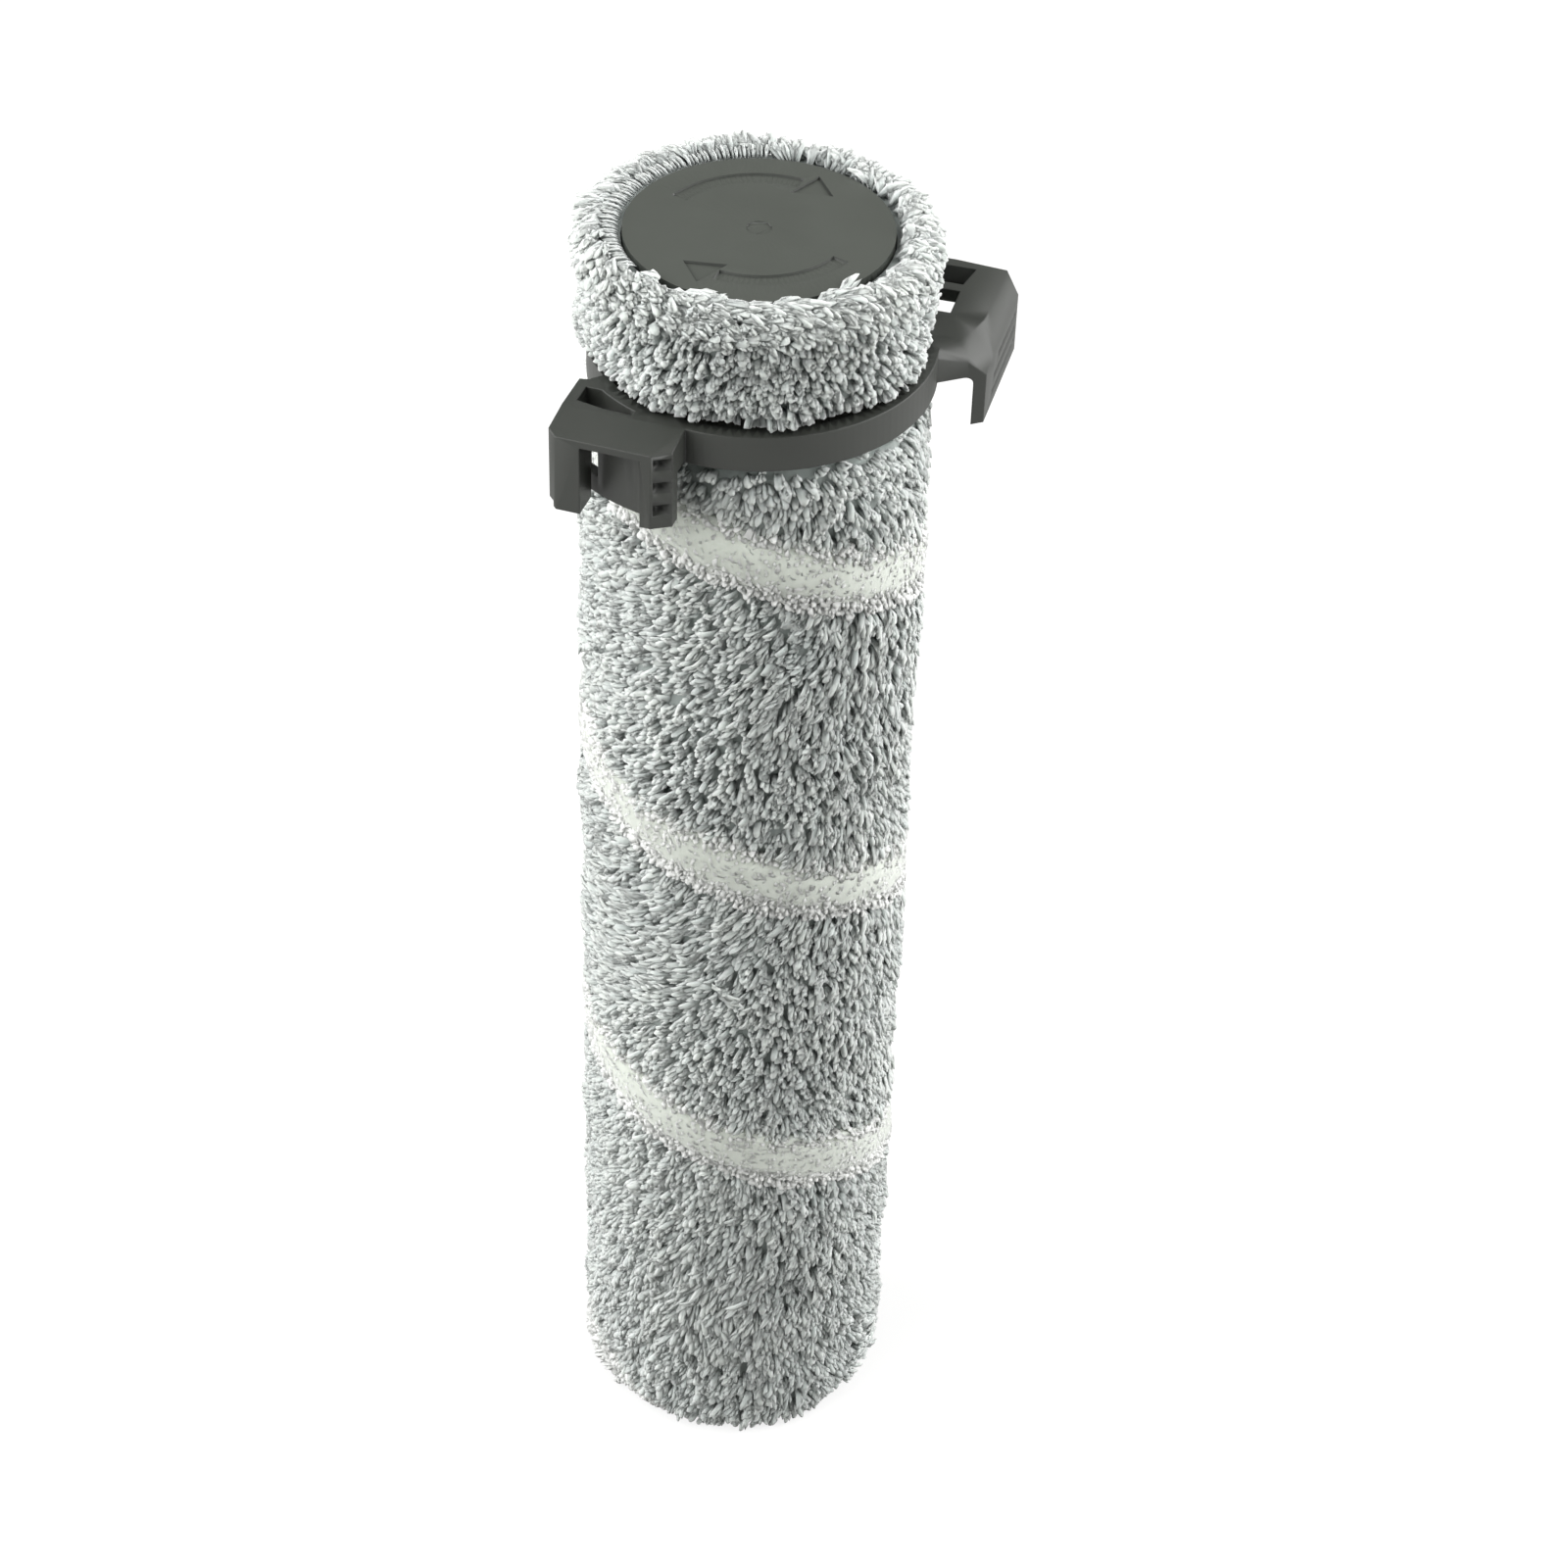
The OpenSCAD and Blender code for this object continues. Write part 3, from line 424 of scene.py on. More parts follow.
@dataclass(frozen=True)
class TuftMould:
    """Makes tuft shapes: a fan of pointed lobes, like a lock of split yarn."""

    main_sides: int = 3
    side_sides: int = 3
    main_rings: tuple[tuple[float, float], ...] = ((0.42, 1.0), (0.8, 0.9), (0.95, 0.5))
    side_rings: tuple[tuple[float, float], ...] = ((0.74, 1.0),)
    root_width: float = 0.6

    def lobe(self, bm: bmesh.types.BMesh, sides: int, rings: tuple[tuple[float, float], ...],
             length: float, width: float, fan: float, start: float) -> None:
        """Adds one closed lobe to a bundle.

        Args:
            bm: The bundle.
            sides: Sides of the lobe's section.
            rings: Heights of its rings and their widths, as shares of its length and width.
            length: Its length as a share of the bundle's.
            width: Its half width as a share of the bundle's.
            fan: How far its tip stands beside the bundle's middle.
            start: Angle of its first corner.
        """
        root = self.root_width * width
        made = bmesh.ops.create_cone(bm, cap_ends=True, segments=sides, radius1=root,
                                     radius2=0.0, depth=length,
                                     matrix=Matrix.Translation((0, 0, length / 2))
                                     @ Matrix.Rotation(start, 4, "Z"))
        verts = set(made["verts"])
        for place, share in rings:
            geom = list(verts | {e for v in verts for e in v.link_edges}
                        | {f for v in verts for f in v.link_faces})
            cutting = bmesh.ops.bisect_plane(bm, geom=geom, plane_co=(0, 0, place * length),
                                             plane_no=(0, 0, 1), dist=1e-5)
            fresh = [g for g in cutting["geom_cut"] if isinstance(g, bmesh.types.BMVert)]
            verts |= set(fresh)
            now = max(math.hypot(v.co.x, v.co.y) for v in fresh)
            bmesh.ops.scale(bm, vec=(share * width / now, share * width / now, 1), verts=fresh)
        for v in verts:
            v.co.x += fan * (0.3 + (v.co.z / length) ** 1.4)

    def bundle(self, rng: np.random.Generator, side_lobes: int) -> TuftShape:
        """Makes one bundle with a few lobes.

        Args:
            rng: The seeded source of its unevenness.
            side_lobes: How many small lobes stand beside the main one.

        Returns:
            The bundle's places and faces.
        """
        bm = bmesh.new()
        self.lobe(bm, self.main_sides, self.main_rings, 1.0, rng.uniform(0.3, 0.4),
                  rng.uniform(-0.1, 0.1), rng.uniform(0, math.pi))
        for k in range(side_lobes):
            side = -1 if k % 2 else 1
            self.lobe(bm, self.side_sides, self.side_rings, rng.uniform(0.7, 0.98),
                      rng.uniform(0.22, 0.3), side * rng.uniform(0.2, 0.38),
                      rng.uniform(0, math.pi))
        bmesh.ops.recalc_face_normals(bm, faces=bm.faces)
        bm.verts.index_update()
        places = np.array([v.co[:] for v in bm.verts])
        faces = [tuple(v.index for v in f.verts) for f in bm.faces]
        bm.free()
        return TuftShape(places, faces)


@dataclass
class TuftPlan:
    """Where a set of tufts stands and how each one lies. One row for each tuft."""

    root: np.ndarray
    normal: np.ndarray
    nap: np.ndarray
    height: np.ndarray
    lean: np.ndarray
    width: np.ndarray
    tone: np.ndarray

    def __len__(self) -> int:
        """Counts the tufts."""
        return len(self.root)

    def part(self, keep: np.ndarray) -> "TuftPlan":
        """Takes the tufts that an index or a mask names."""
        return TuftPlan(self.root[keep], self.normal[keep], self.nap[keep], self.height[keep],
                        self.lean[keep], self.width[keep], self.tone[keep])

    def joined(self, other: "TuftPlan") -> "TuftPlan":
        """Puts another plan's tufts after these."""
        mine, theirs = vars(self), vars(other)
        return TuftPlan(*(np.concatenate([mine[k], theirs[k]]) for k in mine))


@dataclass
class TuftPlanter:
    """Turns plans of tufts into meshes, all from a handful of moulded bundles."""

    seed: int = 11
    thickness: float = 0.6
    shapes: list[TuftShape] = field(default_factory=list)

    def __post_init__(self) -> None:
        """Moulds the bundles."""
        rng = np.random.default_rng(self.seed)
        mould = TuftMould()
        self.shapes = [mould.bundle(rng, lobes) for lobes in (2, 2, 1, 2, 2, 1, 2)]

    def placed(self, shape: TuftShape, plan: TuftPlan) -> tuple[np.ndarray, ...]:
        """Bends one bundle shape over every row of a plan.

        Args:
            shape: The bundle.
            plan: The tufts that take this shape.

        Returns:
            The vertices of all copies, their tone from a dark root to a light tip (painted shade low in the
            pile), their place along and across the fibres in millimetres, and the pile's outward direction.
        """
        s = shape.places[None, :, 2]
        rise = np.sin(0.5 * math.pi * np.clip(s, 0, 1.05) ** 0.85)
        run = np.clip(s, 0, 1.05) ** 1.5
        slope_up = plan.height[:, None] * np.cos(0.5 * math.pi * s) * 1.35
        slope_run = plan.lean[:, None] * 1.5 * np.sqrt(s)
        size = np.sqrt(slope_up ** 2 + slope_run ** 2) + 1e-9
        cos_lie = (slope_up / size)[..., None]
        sin_lie = (slope_run / size)[..., None]
        side = np.cross(plan.normal, plan.nap)
        width = plan.width[:, None, None]
        middle = (plan.root[:, None, :]
                  + plan.normal[:, None, :] * (plan.height[:, None] * rise)[..., None]
                  + plan.nap[:, None, :] * (plan.lean[:, None] * run)[..., None])
        across = side[:, None, :] * shape.places[None, :, 0, None] * width
        through = (plan.nap[:, None, :] * cos_lie - plan.normal[:, None, :] * sin_lie)
        verts = middle + across + through * shape.places[None, :, 1, None] * width * self.thickness
        # Painted shade: the tone falls towards each tuft's root.
        tone = np.clip((0.1 + 0.9 * s ** 0.8) * plan.tone[:, None], 0, 1)
        apart = (plan.root @ np.array([[1.0, 0.3], [0.4, 1.0], [0.7, 0.9]])) * 7e4
        length = (plan.height + plan.lean)[:, None] / MM
        fibre = np.stack([shape.places[None, :, 0] * plan.width[:, None] / MM + apart[:, :1],
                          0.15 * s * length + apart[:, 1:],
                          shape.places[None, :, 1] * plan.width[:, None] / MM], axis=-1)
        outward = np.repeat(plan.normal, s.shape[1], axis=0)
        return verts.reshape(-1, 3), tone.reshape(-1), fibre.reshape(-1, 3), outward

    def meshes(self, name: str, plan: TuftPlan) -> list[bpy.types.Mesh]:
        """Builds the meshes for a plan, each under the limit for one piece.

        Args:
            name: The start of the meshes' names.
            plan: The tufts.

        Returns:
            One or more meshes with a tone attribute.
        """
        per_tuft = max(sum(len(f) - 2 for f in s.faces) for s in self.shapes)
        per_mesh = MAX_PIECE_TRIANGLES // per_tuft
        made = []
        for k in range(0, len(plan), per_mesh):
            rows = plan.part(slice(k, k + per_mesh))
            parts, loops, sizes, base = [], [], [], 0
            for i, shape in enumerate(self.shapes):
                some = rows.part(slice(i, None, len(self.shapes)))
                if not len(some):
                    continue
                parts.append(self.placed(shape, some))
                flat = np.concatenate([np.array(f) for f in shape.faces])
                step = np.arange(len(some)) * len(shape.places)
                loops.append((flat[None, :] + step[:, None]).reshape(-1) + base)
                sizes.append(np.tile([len(f) for f in shape.faces], len(some)))
                base += len(parts[-1][0])
            made.append(self.assembled(f"{name}_{len(made) + 1}",
                                       *map(np.concatenate, (*zip(*parts), loops, sizes))))
        return made

    @staticmethod
    def assembled(name: str, verts: np.ndarray, tones: np.ndarray, fibres: np.ndarray,
                  outward: np.ndarray, loops: np.ndarray, sizes: np.ndarray) -> bpy.types.Mesh:
        """Writes copied bundles into one mesh.

        Args:
            name: The mesh's name.
            verts: All vertices.
            tones: Their tones.
            fibres: Their places along and across the fibres.
            outward: The pile's outward direction at each.
            loops: The vertex of each face corner.
            sizes: The corners of each face.

        Returns:
            The smooth-shaded mesh.
        """
        mesh = bpy.data.meshes.new(name)
        mesh.vertices.add(len(verts))
        mesh.vertices.foreach_set("co", verts.astype(np.float32).ravel())
        mesh.loops.add(len(loops))
        mesh.loops.foreach_set("vertex_index", loops.astype(np.int32))
        mesh.polygons.add(len(sizes))
        starts = np.concatenate([[0], np.cumsum(sizes)[:-1]]).astype(np.int32)
        mesh.polygons.foreach_set("loop_start", starts)
        mesh.update(calc_edges=True)
        mesh.polygons.foreach_set("use_smooth", np.ones(len(sizes), dtype=bool))
        layer = mesh.attributes.new("tone", "FLOAT", "POINT")
        layer.data.foreach_set("value", tones.astype(np.float32))
        for label, rows in (("fibre", fibres), ("outward", outward)):
            layer = mesh.attributes.new(label, "FLOAT_VECTOR", "POINT")
            layer.data.foreach_set("vector", rows.astype(np.float32).ravel())
        mesh.validate()
        return mesh


@dataclass
class Stripe:
    """The white strip's helix, as wound beside the grey one, which drops at its lower end."""

    middle_at_x: float = 123.3 * MM
    pitch: float = 64 * MM
    width: float = 10.5 * MM
    last_drop: float = 19 * MM

    def distance(self, azimuth: np.ndarray, height: np.ndarray) -> np.ndarray:
        """Gives the axial distance from the stripe's middle line.

        Args:
            azimuth: Angles around the axis in radians.
            height: Heights in metres.

        Returns:
            Distances in metres, positive above the line.
        """
        wrapped = (azimuth + math.pi) % (2 * math.pi) - math.pi
        nearest = np.full_like(height, self.pitch)
        for turn in range(-2, 3):
            angle = wrapped + 2 * math.pi * turn
            end = np.clip(angle / math.pi - 2, 0, 1)
            drop = self.last_drop * end ** 2 * (3 - 2 * end)
            away = height - self.middle_at_x + self.pitch * angle / (2 * math.pi) + drop
            nearest = np.where(np.abs(away) < np.abs(nearest), away, nearest)
        return nearest


@dataclass
class StripeBand:
    """The dense body of the white strip, just below the ends of its tufts."""

    swell: Callable[[np.ndarray, np.ndarray], np.ndarray]
    stripe: Stripe
    node: str = "white_pile_stripe"
    sink: float = 0.1 * MM
    full_radius: float = 28.0 * MM
    hidden_radius: float = 25.2 * MM
    unevenness: float = 0.4 * MM
    lump_depth: float = 0.07 * MM
    edge_width: float = 2.2 * MM
    edge_drop: float = 0.7 * MM

    def build(self) -> None:
        """Copies the node's solid, draws its outside in, and hides it where the tufts leave it."""
        bm = bmesh.new()
        bm.from_mesh(FRAME["nodes"][self.node].data)
        bmesh.ops.transform(bm, matrix=FRAME["nodes"][self.node].matrix_world, verts=bm.verts)
        bmesh.ops.remove_doubles(bm, verts=bm.verts, dist=1e-6)
        lumps = smooth_noise(np.random.default_rng(71), 30, 3.5, 45)
        long_edges = [e for e in bm.edges if e.calc_length() > 3 * MM]
        bmesh.ops.subdivide_edges(bm, edges=long_edges, cuts=3, use_grid_fill=False)
        bmesh.ops.triangulate(bm, faces=[f for f in bm.faces if len(f.verts) > 4])
        for vert in bm.verts:
            radius = math.hypot(vert.co.x, vert.co.y)
            if radius > self.full_radius - 1.0 * MM:
                azimuth, height = np.array([math.atan2(vert.co.y, vert.co.x)]), np.array([vert.co.z])
                wave = float(self.swell(azimuth, height)[0])
                aside = abs(float(self.stripe.distance(azimuth, height)[0]))
                lump = float(lumps(azimuth, height)[0])
                edge = min(max(1 + (aside - self.stripe.width / 2) / self.edge_width, 0), 1)
                wanted = self.full_radius - self.sink + self.unevenness * wave
                wanted += self.lump_depth * lump - self.edge_drop * edge ** 2
                if aside > self.stripe.width / 2 + 1.2 * MM:
                    wanted = self.hidden_radius
                scale = wanted / radius
                vert.co.x *= scale
                vert.co.y *= scale
        mesh = bpy.data.meshes.new("white_band")
        bm.to_mesh(mesh)
        bm.free()
        for polygon in mesh.polygons:
            polygon.use_smooth = True
        mesh.set_sharp_from_angle(angle=math.radians(50))
        # A tone of zero takes the white ramp's root colour, which is painted shade of the tufted strip
        # spread over the whole band.
        layer = mesh.attributes.new("tone", "FLOAT", "POINT")
        layer.data.foreach_set("value", np.zeros(len(mesh.vertices), dtype=np.float32))
        layer = mesh.attributes.new("fibre", "FLOAT_VECTOR", "POINT")
        places = np.array([v.co[:] for v in mesh.vertices], dtype=np.float32) / (2 * MM)
        layer.data.foreach_set("vector", places.ravel())
        add_piece("white_band", mesh, Body.ROLLER,
                  FINISH_CACHE[Slot.WHITE_PILE], [self.node])


@dataclass(frozen=True)
class NapMark:
    """A spot where the pile's lie is known.

    The direction is that of the tips, seen from outside: 0 points to growing azimuth and 90
    up. Lie, rise and tone scale the tufts' lean, their height and their lightness.
    """

    azimuth_deg: float
    height_mm: float
    direction_deg: float
    lie: float = 1.0
    rise: float = 1.0
    tone: float = 1.0
    reach_mm: float = 13.0
    strength: float = 1.0


@dataclass
class NapMap:
    """The lie of the pile over a section: known marks with a random swirl between them."""

    marks: tuple[NapMark, ...]
    seed: int
    radius_mm: float = 28.0
    rest: float = 0.3

    def read(self, azimuth: np.ndarray, height: np.ndarray) -> tuple[np.ndarray, ...]:
        """Reads the map at many places.

        Args:
            azimuth: Angles around the axis in radians.
            height: Heights in metres.

        Returns:
            Direction in radians, and the factors for lie, rise and tone.
        """
        swirl = smooth_noise(np.random.default_rng(self.seed + 1), 9, 46, 3)(azimuth, height)
        turn = -0.5 * math.pi + 1.5 * swirl
        total = np.full(len(azimuth), self.rest)
        along, up = self.rest * np.cos(turn), self.rest * np.sin(turn)
        lie, rise, tone = total.copy(), total.copy(), total.copy()
        for mark in self.marks:
            aside = (azimuth - math.radians(mark.azimuth_deg) + math.pi) % (2 * math.pi) - math.pi
            away = np.hypot(aside * self.radius_mm, height / MM - mark.height_mm)
            weight = mark.strength * np.exp(-0.5 * (away / mark.reach_mm) ** 2)
            direction = math.radians(mark.direction_deg)
            total += weight
            along += weight * math.cos(direction)
            up += weight * math.sin(direction)
            lie += weight * mark.lie
            rise += weight * mark.rise
            tone += weight * mark.tone
        return np.arctan2(up, along), lie / total, rise / total, tone / total


@dataclass(frozen=True)
class StrayTuft:
    """One lock of yarn that stands out of the pile."""

    azimuth_deg: float
    height_mm: float
    direction_deg: float
    lean_mm: float
    rise_mm: float
    width_mm: float
    tone: float = 1.0


@dataclass
class PileSection:
    """A piled section of the roller: a dense base with tufts rooted in it."""

    name: str
    node: str
    low: float
    high: float
    low_limit: float
    high_limit: float
    nap_map: NapMap
    stripe: Stripe | None
    planter: TuftPlanter
    root_radius: float = 24.4 * MM
    tip_radius: float = 27.9 * MM
    inner_radius: float = 21.1 * MM
    round_low: float = 3.5 * MM
    round_high: float = 3.0 * MM
    grey_step: tuple[float, float] = (1.5 * MM, 1.6 * MM)
    white_step: tuple[float, float] = (1.1 * MM, 1.2 * MM)
    lie: float = 2.9 * MM
    tuft_width: float = 2.3 * MM
    base_tone: float = 0.0
    base_depth: float = 1.5 * MM
    strays: tuple[StrayTuft, ...] = ()
    white_strays: tuple[StrayTuft, ...] = ()

    @property
    def seed(self) -> int:
        """Gives the section's own seed, which is its nap map's."""
        return self.nap_map.seed

    def swell(self, azimuth: np.ndarray, height: np.ndarray) -> np.ndarray:
        """Gives the slow waves of the section's surface, about -1 to 1.

        Args:
            azimuth: Angles around the axis in radians.
            height: Heights in metres.

        Returns:
            The waves' height at each place.
        """
        return smooth_noise(np.random.default_rng(self.seed + 3), 14, 14, 9)(azimuth, height)

    def spots(self, rng: np.random.Generator, step: tuple[float, float]) -> tuple[np.ndarray, np.ndarray]:
        """Scatters places over the section's side with even spacing and some jitter.

        Args:
            rng: The seeded source of the jitter.
            step: Spacing around and along.

        Returns:
            Azimuths in radians and heights in metres.
        """
        around = int(2 * math.pi * self.tip_radius / step[0])
        along = int((self.high - self.low) / step[1])
        i, j = np.meshgrid(np.arange(around), np.arange(along))
        azimuth = (i + 0.5 * (j % 2) + rng.uniform(-0.45, 0.45, i.shape)) * 2 * math.pi / around
        height = self.low + (j + 0.5 + rng.uniform(-0.48, 0.48, i.shape)) * step[1]
        return azimuth.ravel(), height.ravel()

    def surface(self, azimuth: np.ndarray, height: np.ndarray, radius: float,
                bumps: np.ndarray) -> tuple[np.ndarray, np.ndarray]:
        """Gives places on the rounded side at a radius, and the outward directions there.

        Args:
            azimuth: Angles around the axis.
            height: Heights along the section.
            radius: The radius at mid height.
            bumps: What is added to the radius at each place.

        Returns:
            Places and unit directions.
        """
        below = np.clip((self.low + self.round_low - height) / self.round_low, 0, 1)
        above = np.clip((height - self.high + self.round_high) / self.round_high, 0, 1)
        tilt = (np.where(above > 0, above * 0.9, -below * 0.9)) * 0.5 * math.pi
        drawn = (1 - np.cos(tilt)) * np.where(above > 0, self.round_high, self.round_low)
        r = radius + bumps - drawn
        out = np.stack([np.cos(azimuth), np.sin(azimuth), np.zeros_like(azimuth)], axis=-1)
        place = out * r[:, None]
        place[:, 2] = height
        normal = out * np.cos(tilt)[:, None]
        normal[:, 2] = np.sin(tilt)
        return place, normal

    def lying(self, azimuth: np.ndarray, normal: np.ndarray, turn: np.ndarray) -> np.ndarray:
        """Turns directions seen from outside into unit vectors along the surface."""
        around = np.stack([-np.sin(azimuth), np.cos(azimuth), np.zeros(len(azimuth))], axis=-1)
        up = np.cross(normal, around)
        return around * np.cos(turn)[:, None] + up * np.sin(turn)[:, None]

    def plan(self, rng: np.random.Generator, step: tuple[float, float], white: bool) -> TuftPlan:
        """Plans the tufts of one colour on the section's side.

        Args:
            rng: The seeded source.
            step: Their spacing.
            white: Whether these are the stripe's tufts.

        Returns:
            The plan.
        """
        azimuth, height = self.spots(rng, step)
        lay = smooth_noise(np.random.default_rng(self.seed + 2), 9, 30, 4)
        if self.stripe is not None:
            edge = self.stripe.width / 2 + (0.6 + 0.5 * self.swell(azimuth, height * 1.7)) * MM
            inside = np.abs(self.stripe.distance(azimuth, height)) < edge
            keep = inside if white else ~inside
            azimuth, height = azimuth[keep], height[keep]
        count = len(azimuth)
        turn, lie, rise, tone = self.nap_map.read(azimuth, height)
        bumps = 0.4 * MM * self.swell(azimuth, height)
        root, normal = self.surface(azimuth, height, self.root_radius, bumps)
        nap = self.lying(azimuth, normal, turn + rng.normal(0, 0.35, count))
        lie *= np.clip(1 + 0.3 * lay(azimuth, height) + rng.normal(0, 0.25, count), 0.3, 2.0)
        clump = smooth_noise(np.random.default_rng(self.seed + 4), 26, 6, 24)(azimuth, height)
        lie *= np.clip((self.high - height) / (5 * MM), 0.15, 1)
        rise *= np.clip(rng.normal(0.94, 0.1, count) + 0.07 * clump, 0.6, 1.08)
        tone *= rng.normal(0.84, 0.1, count) + 0.14 * clump + 0.06 * lay(azimuth, height * 1.3)
        width = self.tuft_width * rng.uniform(0.7, 1.2, count)
        if white:
            lie *= 0.45
            rise = 0.9 + 0.1 * rise
            width *= 1.2
            tone = rng.normal(0.92, 0.05, count)
        full = self.tip_radius - self.root_radius
        return TuftPlan(root, normal, nap, full * rise, self.lie * lie, width,
                        np.clip(tone, 0.1, 1.1))

    def stray_plan(self, strays: tuple[StrayTuft, ...]) -> TuftPlan:
        """Plans the locks that stand out of the pile.

        Args:
            strays: The locks.

        Returns:
            The plan.
        """
        rows = np.array([[math.radians(s.azimuth_deg), s.height_mm * MM,
                          math.radians(s.direction_deg), s.lean_mm * MM, s.rise_mm * MM,
                          s.width_mm * MM, s.tone] for s in strays]).reshape(-1, 7)
        azimuth, height, turn, lean, rise, width, tone = rows.T
        root, normal = self.surface(azimuth, height, self.root_radius, np.zeros(len(rows)))
        return TuftPlan(root, normal, self.lying(azimuth, normal, turn), rise, lean, width, tone)

    def base(self) -> bpy.types.Mesh:
        """Spins the dense base that the tufts stand in, with closed ends.

        Returns:
            The mesh with a dark tone, which paints shade in the gaps between the tufts.
        """
        bm = bmesh.new()
        outer = self.root_radius + self.base_depth
        low, high = self.low, self.high
        section = [
            (self.inner_radius, low), (outer - self.round_low, low),
            (outer - self.round_low * 0.35, low + self.round_low * 0.4), (outer, low + self.round_low),
            (outer, high - self.round_high), (outer - self.round_high * 0.35, high - self.round_high * 0.4),
            (outer - self.round_high, high), (self.inner_radius, high),
        ]
        verts = [bm.verts.new((r, 0, z)) for r, z in section]
        edges = [bm.edges.new((a, b)) for a, b in zip(verts, verts[1:] + verts[:1])]
        bmesh.ops.spin(bm, geom=verts + edges, cent=(0, 0, 0), axis=(0, 0, 1),
                       angle=2 * math.pi, steps=96, use_merge=True)
        bmesh.ops.remove_doubles(bm, verts=bm.verts, dist=1e-6)
        bmesh.ops.recalc_face_normals(bm, faces=bm.faces)
        mesh = bpy.data.meshes.new(f"{self.name}_base")
        bm.to_mesh(mesh)
        bm.free()
        layer = mesh.attributes.new("tone", "FLOAT", "POINT")
        layer.data.foreach_set("value", np.full(len(mesh.vertices), self.base_tone, dtype=np.float32))
        return mesh

    def held(self, plan: TuftPlan) -> TuftPlan:
        """Keeps the tufts' tips between the section's limits by shortening their lean.

        Args:
            plan: The tufts.

        Returns:
            The plan with its lean trimmed.
        """
        tip_z = plan.root[:, 2] + plan.normal[:, 2] * plan.height + plan.nap[:, 2] * plan.lean
        over = np.maximum(tip_z - self.high_limit, 0) + np.maximum(self.low_limit - tip_z, 0)
        lean = np.where(np.abs(plan.nap[:, 2]) > 0.05,
                        plan.lean - over / np.maximum(np.abs(plan.nap[:, 2]), 0.05), plan.lean)
        plan.lean = np.clip(lean, 0.1 * MM, None)
        return plan

    def plant(self, name: str, plan: TuftPlan, slot: Slot, node: str) -> None:
        """Builds a plan's meshes and puts them on the roller.

        Args:
            name: The start of the pieces' names.
            plan: The tufts.
            slot: Their material slot.
            node: The frame's node that they stand for.
        """
        for mesh in self.planter.meshes(name, plan):
            self.clamp(mesh)
            add_piece(mesh.name, mesh, Body.ROLLER, FINISH_CACHE[slot], [node])

    def build(self, extra: TuftPlan | None = None) -> None:
        """Builds the base and all tufts and puts them on the roller.

        Args:
            extra: More tufts in the section's colour, planted as they are.
        """
        rng = np.random.default_rng(self.seed)
        add_piece(f"{self.name}_base", self.base(), Body.ROLLER,
                  FINISH_CACHE[Slot.GREY_PILE], [self.node])
        plan = self.held(self.plan(rng, self.grey_step, False)).joined(self.stray_plan(self.strays))
        if extra is not None:
            plan = plan.joined(extra)
        self.plant(f"{self.name}_tufts", plan, Slot.GREY_PILE, self.node)
        if self.stripe is not None:
            StripeBand(self.swell, self.stripe).build()
            plan = self.held(self.plan(rng, self.white_step, True))
            self.plant("white_tufts", plan.joined(self.stray_plan(self.white_strays)),
                       Slot.WHITE_PILE, "white_pile_stripe")

    def clamp(self, mesh: bpy.types.Mesh) -> None:
        """Flattens what still crosses the section's limits.

        Args:
            mesh: A mesh of tufts.
        """
        co = np.empty(len(mesh.vertices) * 3, dtype=np.float32)
        mesh.vertices.foreach_get("co", co)
        co = co.reshape(-1, 3)
        co[:, 2] = np.clip(co[:, 2], self.low_limit, self.high_limit)
        mesh.vertices.foreach_set("co", co.ravel())
        mesh.update()


